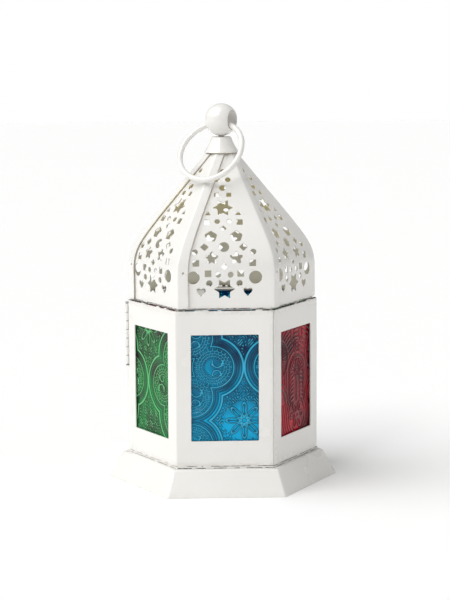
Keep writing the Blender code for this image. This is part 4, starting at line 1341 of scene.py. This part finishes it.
drop_part = drop()
seam_shade_solder = bare_metal("seam_shade_solder", SEAM_SHADE_SOLDER, DULL_SEAM_SHADE_SOLDER, grain=600.0)
dressed("top_ring", white_enamel)
for finish, slot, rows in (
    (white_enamel, "enamel", ENAMEL_DROPS),
    (seam_shade_solder, "steel", SEAM_SHADE_LINES),
):
    for name, behind, height, faces, keep, tallness, seed in rows:
        places, stretches = drops_along(
            BODY_APOTHEM - behind, height, faces, keep, tallness, seed
        )
        mesh = repeated(
            name, drop_part, places, finish, unevenness=0.1, seed=3, stretches=stretches
        )
        worked(mesh)
        fitted(shown(name, mesh, [finish]), "housing", slot)


# Roof. Six petals of the same sheet are punched flat with a lace of holes, then rolled in to the
# neck. Each one's right edge is folded round the corner and laid over its neighbour, with a pin
# hole through both. Inside, the sheet is a darker grey that is painted shade, turning yellower
# towards the neck as painted warm light.
ROOF_BAND = 12.6 * MM
ROOF_SHOULDER = 12.4 * MM
ROOF_NECK_PULL = 50.0 * MM
ROOF_NECK_ANGLE = math.radians(50.8)
NECK_SIDE = 6.7 * MM
ROOF_INSET = 1.1 * MM
FLANGE_EAVE = 5.2 * MM
FLANGE_NECK = 4.3 * MM
RIB_BEND = 1.0 * MM
PIN_HOLE_RADIUS = 0.5 * MM
PIN_HOLE_HEIGHT = 0.21
PIN_HOLE_INSET = 2.9 * MM
PETAL_STEP = 0.85 * MM
PETAL_WAVE = 0.16 * MM
FLANGE_STAIN, PETAL_END_STAIN = 0.7, 0.6
FLANGE_STAIN_REACH = 0.35 * MM
EAVE, ROOF_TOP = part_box("roof_petal_front")[0].z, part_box("roof_petal_front")[1].z
ROOF_SIDE = (BODY_APOTHEM - ROOF_INSET) / SIN60

# Punch, radius, distance either side of the middle and height up the sheet. The first two sizes
# are shares of half the petal's width at the eave, and the height is a share of its length.
PERFORATIONS = (
    ("spade", 0.097, 0.487, 0.098),
    ("star", 0.227, 0.000, 0.114),
    ("round", 0.065, 0.314, 0.148),
    ("round", 0.135, 0.647, 0.182),
    ("round", 0.060, 0.130, 0.198),
    ("square", 0.097, 0.338, 0.205),
    ("diamond", 0.077, 0.000, 0.245),
    ("square", 0.097, 0.589, 0.267),
    ("blossom", 0.140, 0.256, 0.297),
    ("round", 0.063, 0.608, 0.334),
    ("diamond", 0.092, 0.405, 0.365),
    ("round", 0.111, 0.000, 0.365),
    ("pentagon", 0.140, 0.265, 0.434),
    ("diamond", 0.072, 0.000, 0.487),
    ("square", 0.092, 0.343, 0.529),
    ("round", 0.058, 0.125, 0.534),
    ("triangle", 0.072, 0.319, 0.587),
    ("star", 0.217, 0.000, 0.628),
    ("square", 0.072, 0.130, 0.717),
    ("round", 0.072, 0.000, 0.765),
    ("round", 0.058, 0.116, 0.822),
    ("round", 0.053, 0.000, 0.880),
)


class RoofLine:
    """The middle line of a petal's outside, walked by its length of sheet."""

    def __init__(self):
        down = Vector((math.cos(ROOF_NECK_ANGLE), -math.sin(ROOF_NECK_ANGLE)))
        band_top = Vector((ROOF_SIDE, EAVE + ROOF_BAND))
        neck = Vector((NECK_SIDE, ROOF_TOP))
        shoulder = band_top + Vector((0, ROOF_SHOULDER))
        pull = neck + down * ROOF_NECK_PULL
        curve = geometry.interpolate_bezier(band_top, shoulder, pull, neck, 300)
        heights = np.linspace(EAVE, EAVE + ROOF_BAND, 40)[:-1]
        band = [Vector((ROOF_SIDE, height)) for height in heights]
        line = np.array([point[:2] for point in band + curve]) * (SIN60, 1.0)
        steps = np.hypot(*np.diff(line, axis=0).T)
        self.length = np.concatenate([[0.0], np.cumsum(steps)])
        self.whole = self.length[-1]
        self.line = line
        self.slope = np.gradient(line, self.length, axis=0)
        self.slope /= np.hypot(*self.slope.T)[:, None]

    def at(self, up):
        """Distance from the axis, height, and the direction up the sheet."""
        return [np.interp(up, self.length, values) for values in (*self.line.T, *self.slope.T)]

    def edges(self, up):
        """Where the flat petal begins, its fold starts and ends, and its flange ends."""
        apothem, height, _, rise = self.at(up)
        half = apothem / SIN60 / 2
        lift = (SHEET + GAP) / rise
        share = (height - EAVE) / (ROOF_TOP - EAVE)
        flange = FLANGE_EAVE + (FLANGE_NECK - FLANGE_EAVE) * share - lift / SIN60 / 2
        reach = RIB_BEND * math.tan(math.radians(30))
        fold = lift / SIN60 + half - reach
        fold_end = fold + RIB_BEND * math.pi / 3
        return lift / SIN60 - half, fold, fold_end, fold_end + flange - reach


roof_line = RoofLine()


def petal_place(across, up, depth):
    """The point in space of a point on the flat petal."""
    apothem, height, inwards, rise = roof_line.at(up)
    _, fold, _, _ = roof_line.edges(up)
    turn = min(max((across - fold) / RIB_BEND, 0.0), math.pi / 3)
    x = min(across, fold) + RIB_BEND * math.sin(turn)
    y = -apothem + RIB_BEND * (1 - math.cos(turn))
    beyond = max(across - fold - RIB_BEND * math.pi / 3, 0.0)
    x, y = x + beyond * math.cos(turn), y + beyond * math.sin(turn)
    outwards = Vector((math.sin(turn) * rise, -math.cos(turn) * rise, -inwards))
    return Vector((x, y, height)) + outwards * depth


def petal_marks():
    half = ROOF_SIDE / 2
    marks = []
    for kind, radius, offset, height in PERFORATIONS:
        for side in (-1, 1) if offset else (1,):
            marks.append((kind, radius * half, side * offset * half, height * roof_line.whole))
    up = PIN_HOLE_HEIGHT * roof_line.whole
    apothem, _, _, rise = roof_line.at(up)
    marks.append(("round", PIN_HOLE_RADIUS, PIN_HOLE_INSET - apothem / SIN60 / 2, up))
    lift, bend_reach = (SHEET + GAP) / rise, RIB_BEND * math.tan(math.radians(30))
    flange_hole = roof_line.edges(up)[2] + (PIN_HOLE_INSET - lift / SIN60 / 2 - bend_reach)
    marks.append(("round", PIN_HOLE_RADIUS, flange_hole, up))
    return marks


def petal_mesh():
    rows = []
    for up in stepped(0.0, roof_line.whole, PETAL_STEP):
        begin, fold, fold_end, end = roof_line.edges(up)
        across = stepped(begin, fold, (fold - begin) / 36)
        across += stepped(fold, fold_end, (fold_end - fold) / 6)[1:]
        across += stepped(fold_end, end, (end - fold_end) / 5)[1:]
        rows.append([(x, up) for x in across])
    mesh = punched_sheet("roof_petal", rows, petal_marks())
    near = []
    for vertex in mesh.vertices:
        x, up, depth = vertex.co
        begin, _, _, end = roof_line.edges(up)
        flange = abs(min(x - begin - FLANGE_EAVE, end - x))
        petal_end = min(up, roof_line.whole - up)
        stain = FLANGE_STAIN * fading(flange, FLANGE_STAIN_REACH)
        near.append(stain + PETAL_END_STAIN * fading(petal_end, STAIN_REACH))
        vertex.co = petal_place(x, up, depth)
    stained(mesh, near)
    return mesh


petal = petal_mesh()
petal_finishes = [white_enamel, roof_inside_shade_and_light]
petal.materials.clear()
for finish in petal_finishes:
    petal.materials.append(finish)
# Faces looking inwards take the inside finish: painted shade, with painted warm light near the
# neck.
for polygon in petal.polygons:
    outwards = Vector((polygon.center.x, polygon.center.y, 0.0))
    polygon.material_index = int(polygon.normal.dot(outwards) < 0)
for face in ALL_FACES:
    mesh = petal.copy()
    mesh.transform(facing(face))
    worked(mesh, PETAL_WAVE)
    name = "roof_petal_" + FACES[face]
    made = shown(name + "_punched", mesh, petal_finishes, crease=40.0)
    fitted(made, "housing", "enamel", name)


# Neck cap. A small spun cone covers the petals' ends, its lower edge pressed down over them. A
# stud and nut underneath clamp it between the roof and the ball.
CAP_LOW, CAP_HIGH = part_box("neck_cap")[0].z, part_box("neck_cap")[1].z
CAP_LOWER_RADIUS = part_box("neck_cap")[1].x
CAP_UPPER_RADIUS = 4.2 * MM
CAP_HOLE_RADIUS = 1.5 * MM
CAP_WAIST_BEND = 2.5 * MM
SPUN_STAIN = 0.9


def neck_cap():
    middle = (CAP_LOW + CAP_HIGH) / 2
    waist = (CAP_LOWER_RADIUS + CAP_UPPER_RADIUS) / 2 - 0.3 * MM
    profile = [
        (CAP_HOLE_RADIUS, CAP_HIGH, 0.1 * MM),
        (CAP_UPPER_RADIUS, CAP_HIGH, 0.5 * MM),
        (waist, middle, CAP_WAIST_BEND),
        (CAP_LOWER_RADIUS - 0.5 * MM, CAP_LOW + 0.9 * MM, 0.5 * MM),
        (CAP_LOWER_RADIUS, CAP_LOW + 0.1 * MM, 0.2 * MM),
        (CAP_LOWER_RADIUS - SHEET, CAP_LOW, 0.1 * MM),
        (waist - SHEET, middle - SHEET, CAP_WAIST_BEND),
        (CAP_UPPER_RADIUS - SHEET, CAP_HIGH - SHEET, 0.3 * MM),
        (CAP_HOLE_RADIUS, CAP_HIGH - SHEET, 0.1 * MM),
    ]
    mesh = spun("neck_cap_spun", softened(profile, closed=True), 64)
    heights = [vertex.co.z for vertex in mesh.vertices]
    edges = [min(z - CAP_LOW, CAP_HIGH - z + 0.2 * MM) for z in heights]
    stained(mesh, [SPUN_STAIN * fading(edge, STAIN_REACH) for edge in edges])
    worked(mesh)
    return shown("neck_cap_spun", mesh, [white_enamel])


fitted(neck_cap(), "housing", "enamel", "neck_cap")
dressed("finial_stud", steel)
dressed("finial_nut", steel)


# Ball. A solid ball, screwed down on the stud, is drilled right through for the hanging ring. The
# hole's mouths are eased.
BALL_CENTRE = Vector(joints["ring_swing"]["pos_m"])
BALL_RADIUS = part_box("finial_ball")[1].z - BALL_CENTRE.z
BALL_HOLE_RADIUS = 4.4 * MM
MOUTH_EASE = 0.09
MOUTH_BEND = 0.6 * MM
BALL_STEPS = 32
BALL_WAVE = 0.1 * MM
BALL_STAIN_REACH = 0.6 * MM
HOLE_AXIS = Vector(joints["ring_swing"]["axis"])


def turned_towards(axis):
    """The turn from +Z to another axis."""
    return axis.to_track_quat("Z", "Y").to_matrix().to_4x4()


def drilled_ball():
    edge = math.acos(BALL_HOLE_RADIUS / BALL_RADIUS)
    reach = edge - MOUTH_EASE
    turns = [reach * (2 * k / BALL_STEPS - 1) for k in range(BALL_STEPS + 1)]
    profile = [(BALL_RADIUS * math.cos(a), BALL_RADIUS * math.sin(a)) for a in turns]
    mouth = BALL_RADIUS * math.sin(edge)
    eased = softened(
        [
            (*profile[-1], 0),
            (BALL_HOLE_RADIUS + 0.05 * MM, mouth, MOUTH_BEND),
            (BALL_HOLE_RADIUS, mouth - MM, 0),
        ],
        steps=6,
    )
    top = [(point.x, point.y) for point in eased[1:]]
    profile += top + [(BALL_HOLE_RADIUS, 0.0)] + [(x, -y) for x, y in reversed(top)]
    mesh = spun("drilled_ball", profile, steps=72)
    mesh.transform(Matrix.Translation(BALL_CENTRE) @ turned_towards(HOLE_AXIS))
    foot = BALL_CENTRE.z - BALL_RADIUS
    above_foot = [vertex.co.z - foot for vertex in mesh.vertices]
    stained(mesh, [SPUN_STAIN * fading(height, BALL_STAIN_REACH) for height in above_foot])
    worked(mesh, BALL_WAVE)
    for vertex in mesh.vertices:
        vertex.co.z = min(vertex.co.z, BALL_CENTRE.z + BALL_RADIUS)
    return shown("drilled_ball", mesh, [white_enamel])


fitted(drilled_ball(), "housing", "enamel", "finial_ball")


# Hanging ring. A thick steel wire is bent to a ring through the ball, its ends butted, soldered
# and enamelled. It leans on the roof.
ring_points = np.array([vertex.co for vertex in frame["nodes"]["hanging_ring"].data.vertices])
RING_MIDDLE = Vector((ring_points.min(axis=0) + ring_points.max(axis=0)) / 2)
RING_WIRE_RADIUS = 1.25 * MM
RING_JOINT_AT = 0.36
RING_WOBBLE = 0.5 * MM
JOINT_REACH, JOINT_SWELLING = 0.014, 1.16


def wire_ring_tree():
    """A wire bent round a circle, a little out of true, thicker where its ends are soldered."""
    tree, given, result = new_group(
        "GeometryNodeTree",
        "wire_ring",
        {"Start": "Geometry", "Radius": "Float", "Wire Radius": "Float", "Wobble": "Float",
         "Joint": "Float", "Finish": "Material"},
        {"Ring": "Geometry"},
    )
    inputs = {"Resolution": 160, "Radius": given["Radius"]}
    circle = put(tree, "GeometryNodeCurvePrimitiveCircle", inputs).outputs[0]
    place = put(tree, "GeometryNodeInputPosition").outputs[0]
    inputs = {"Vector": place, "Scale": 55.0, "Detail": 0.0}
    waves = put(tree, "ShaderNodeTexNoise", inputs).outputs["Color"]
    centred = vectors(tree, "SUBTRACT", waves, (0.5, 0.5, 0.5))
    inputs = {"Geometry": circle, "Offset": vectors(tree, "SCALE", centred, given["Wobble"])}
    bent = put(tree, "GeometryNodeSetPosition", inputs).outputs[0]
    along = put(tree, "GeometryNodeSplineParameter").outputs["Factor"]
    away = number(tree, "ABSOLUTE", number(tree, "SUBTRACT", along, given["Joint"]))
    inputs = {"Value": away, "From Max": JOINT_REACH, "To Min": JOINT_SWELLING, "To Max": 1.0}
    swelling = put(tree, "ShaderNodeMapRange", inputs, interpolation_type="SMOOTHSTEP")
    inputs = {"Resolution": 20, "Radius": given["Wire Radius"]}
    section = put(tree, "GeometryNodeCurvePrimitiveCircle", inputs).outputs[0]
    inputs = {"Curve": bent, "Profile Curve": section, "Scale": swelling.outputs["Result"]}
    wire = put(tree, "GeometryNodeCurveToMesh", inputs).outputs[0]
    end_tree(tree, wire, given["Finish"], result["Ring"])
    return tree


def hanging_ring():
    spread = ring_points - np.array(RING_MIDDLE)
    ring_axis = Vector(np.linalg.svd(spread, full_matrices=False)[2][2])
    radius = np.linalg.norm(spread, axis=1).max() - RING_WIRE_RADIUS
    values = {"Radius": float(radius), "Wire Radius": RING_WIRE_RADIUS, "Wobble": RING_WOBBLE,
              "Joint": RING_JOINT_AT, "Finish": white_enamel}
    mesh = grown("wire_ring", wire_ring_tree(), bpy.data.meshes.new("ring_start"), values)
    mesh.transform(Matrix.Translation(RING_MIDDLE) @ turned_towards(ring_axis))
    return shown("wire_ring", mesh, [white_enamel])


fitted(hanging_ring(), "ring", "enamel", "hanging_ring")


# Studio. The lantern stands on a wide pale table under even white light. A broad sun high on its
# left makes the left faces brightest and the right ones a quiet grey, and a small one puts a glint
# on the enamel.
FLOOR_HALF = 3.0
FLOOR_COLOUR = (0.97, 0.97, 0.965, 1.0)
FLOOR_ROUGHNESS = 0.7
SURROUNDINGS_LIGHT, SURROUNDINGS_SEEN = 0.47, 1.0
GLOW_RADIUS, GLOW_DROP, GLOW_POWER = 14 * MM, 12 * MM, 0.03
CAMERA_TARGET = Vector((1.26, -0.04, 80.13)) * MM
CAMERA_AZIMUTH = math.radians(-1.68)
CAMERA_ELEVATION = math.radians(8.32)
CAMERA_DISTANCE = 0.8694
CAMERA_ROLL = math.radians(-0.35)
CAMERA_LENS = 116.03


def floor():
    mesh = bpy.data.meshes.new("table_top")
    h = FLOOR_HALF
    mesh.from_pydata([(-h, -h, 0), (h, -h, 0), (h, h, 0), (-h, h, 0)], [], [(0, 1, 2, 3)])
    paint = bpy.data.materials.new("table_paint")
    paint.use_nodes = True
    shader = paint.node_tree.nodes["Principled BSDF"]
    shader.inputs["Base Color"].default_value = FLOOR_COLOUR
    shader.inputs["Roughness"].default_value = FLOOR_ROUGHNESS
    mesh.materials.append(paint)
    made = bpy.data.objects.new("table_top", mesh)
    bpy.context.scene.collection.objects.link(made)


def lamp(name, place, spread, strength):
    """An even light from one side, its spread in degrees."""
    light = bpy.data.lights.new(name, "SUN")
    light.angle, light.energy = math.radians(spread), strength
    made = bpy.data.objects.new(name, light)
    made.rotation_euler = (-Vector(place)).to_track_quat("-Z", "Y").to_euler()
    bpy.context.scene.collection.objects.link(made)


def inner_glow():
    """A faint light under the roof, for the daylight that the panes let in."""
    light = bpy.data.lights.new("inner_glow", "POINT")
    light.shadow_soft_size, light.energy = GLOW_RADIUS, GLOW_POWER
    made = bpy.data.objects.new("inner_glow", light)
    made.location = (0.0, 0.0, WALL_TOP - GLOW_DROP)
    made.visible_camera = made.visible_glossy = made.visible_transmission = False
    bpy.context.scene.collection.objects.link(made)


def surroundings():
    """White all round: full white where it is looked at, and a softer white as a light."""
    world = bpy.data.worlds.new("studio")
    bpy.context.scene.world = world
    world.use_nodes = True
    tree = world.node_tree
    tree.nodes.clear()
    soft, bright = (
        put(tree, "ShaderNodeBackground", {"Color": (1.0, 1.0, 1.0, 1.0), "Strength": strength})
        for strength in (SURROUNDINGS_LIGHT, SURROUNDINGS_SEEN)
    )
    seen = put(tree, "ShaderNodeLightPath").outputs["Is Camera Ray"]
    both = put(tree, "ShaderNodeMixShader", {0: seen, 1: soft.outputs[0], 2: bright.outputs[0]})
    put(tree, "ShaderNodeOutputWorld", {"Surface": both.outputs[0]})


def camera():
    made = bpy.data.objects.new("camera", bpy.data.cameras.new("camera"))
    bpy.context.scene.collection.objects.link(made)
    level = math.cos(CAMERA_ELEVATION)
    back = Vector((math.sin(CAMERA_AZIMUTH) * level, -math.cos(CAMERA_AZIMUTH) * level,
                   math.sin(CAMERA_ELEVATION)))
    roll = Matrix.Rotation(CAMERA_ROLL, 4, "Z")
    turned = (-back).to_track_quat("-Z", "Y").to_matrix().to_4x4()
    made.matrix_world = Matrix.Translation(CAMERA_TARGET + back * CAMERA_DISTANCE) @ turned @ roll
    made.data.lens = CAMERA_LENS
    made.data.clip_start, made.data.clip_end = 0.01, 20.0
    bpy.context.scene.camera = made


floor()
surroundings()
lamp("left_sun", place=(-0.6, -0.2, 0.8), spread=62.0, strength=2.15)
lamp("small_sun", place=(-0.45, -0.7, 0.75), spread=10.0, strength=0.3)
inner_glow()
camera()
bpy.context.scene.view_settings.view_transform = "Standard"
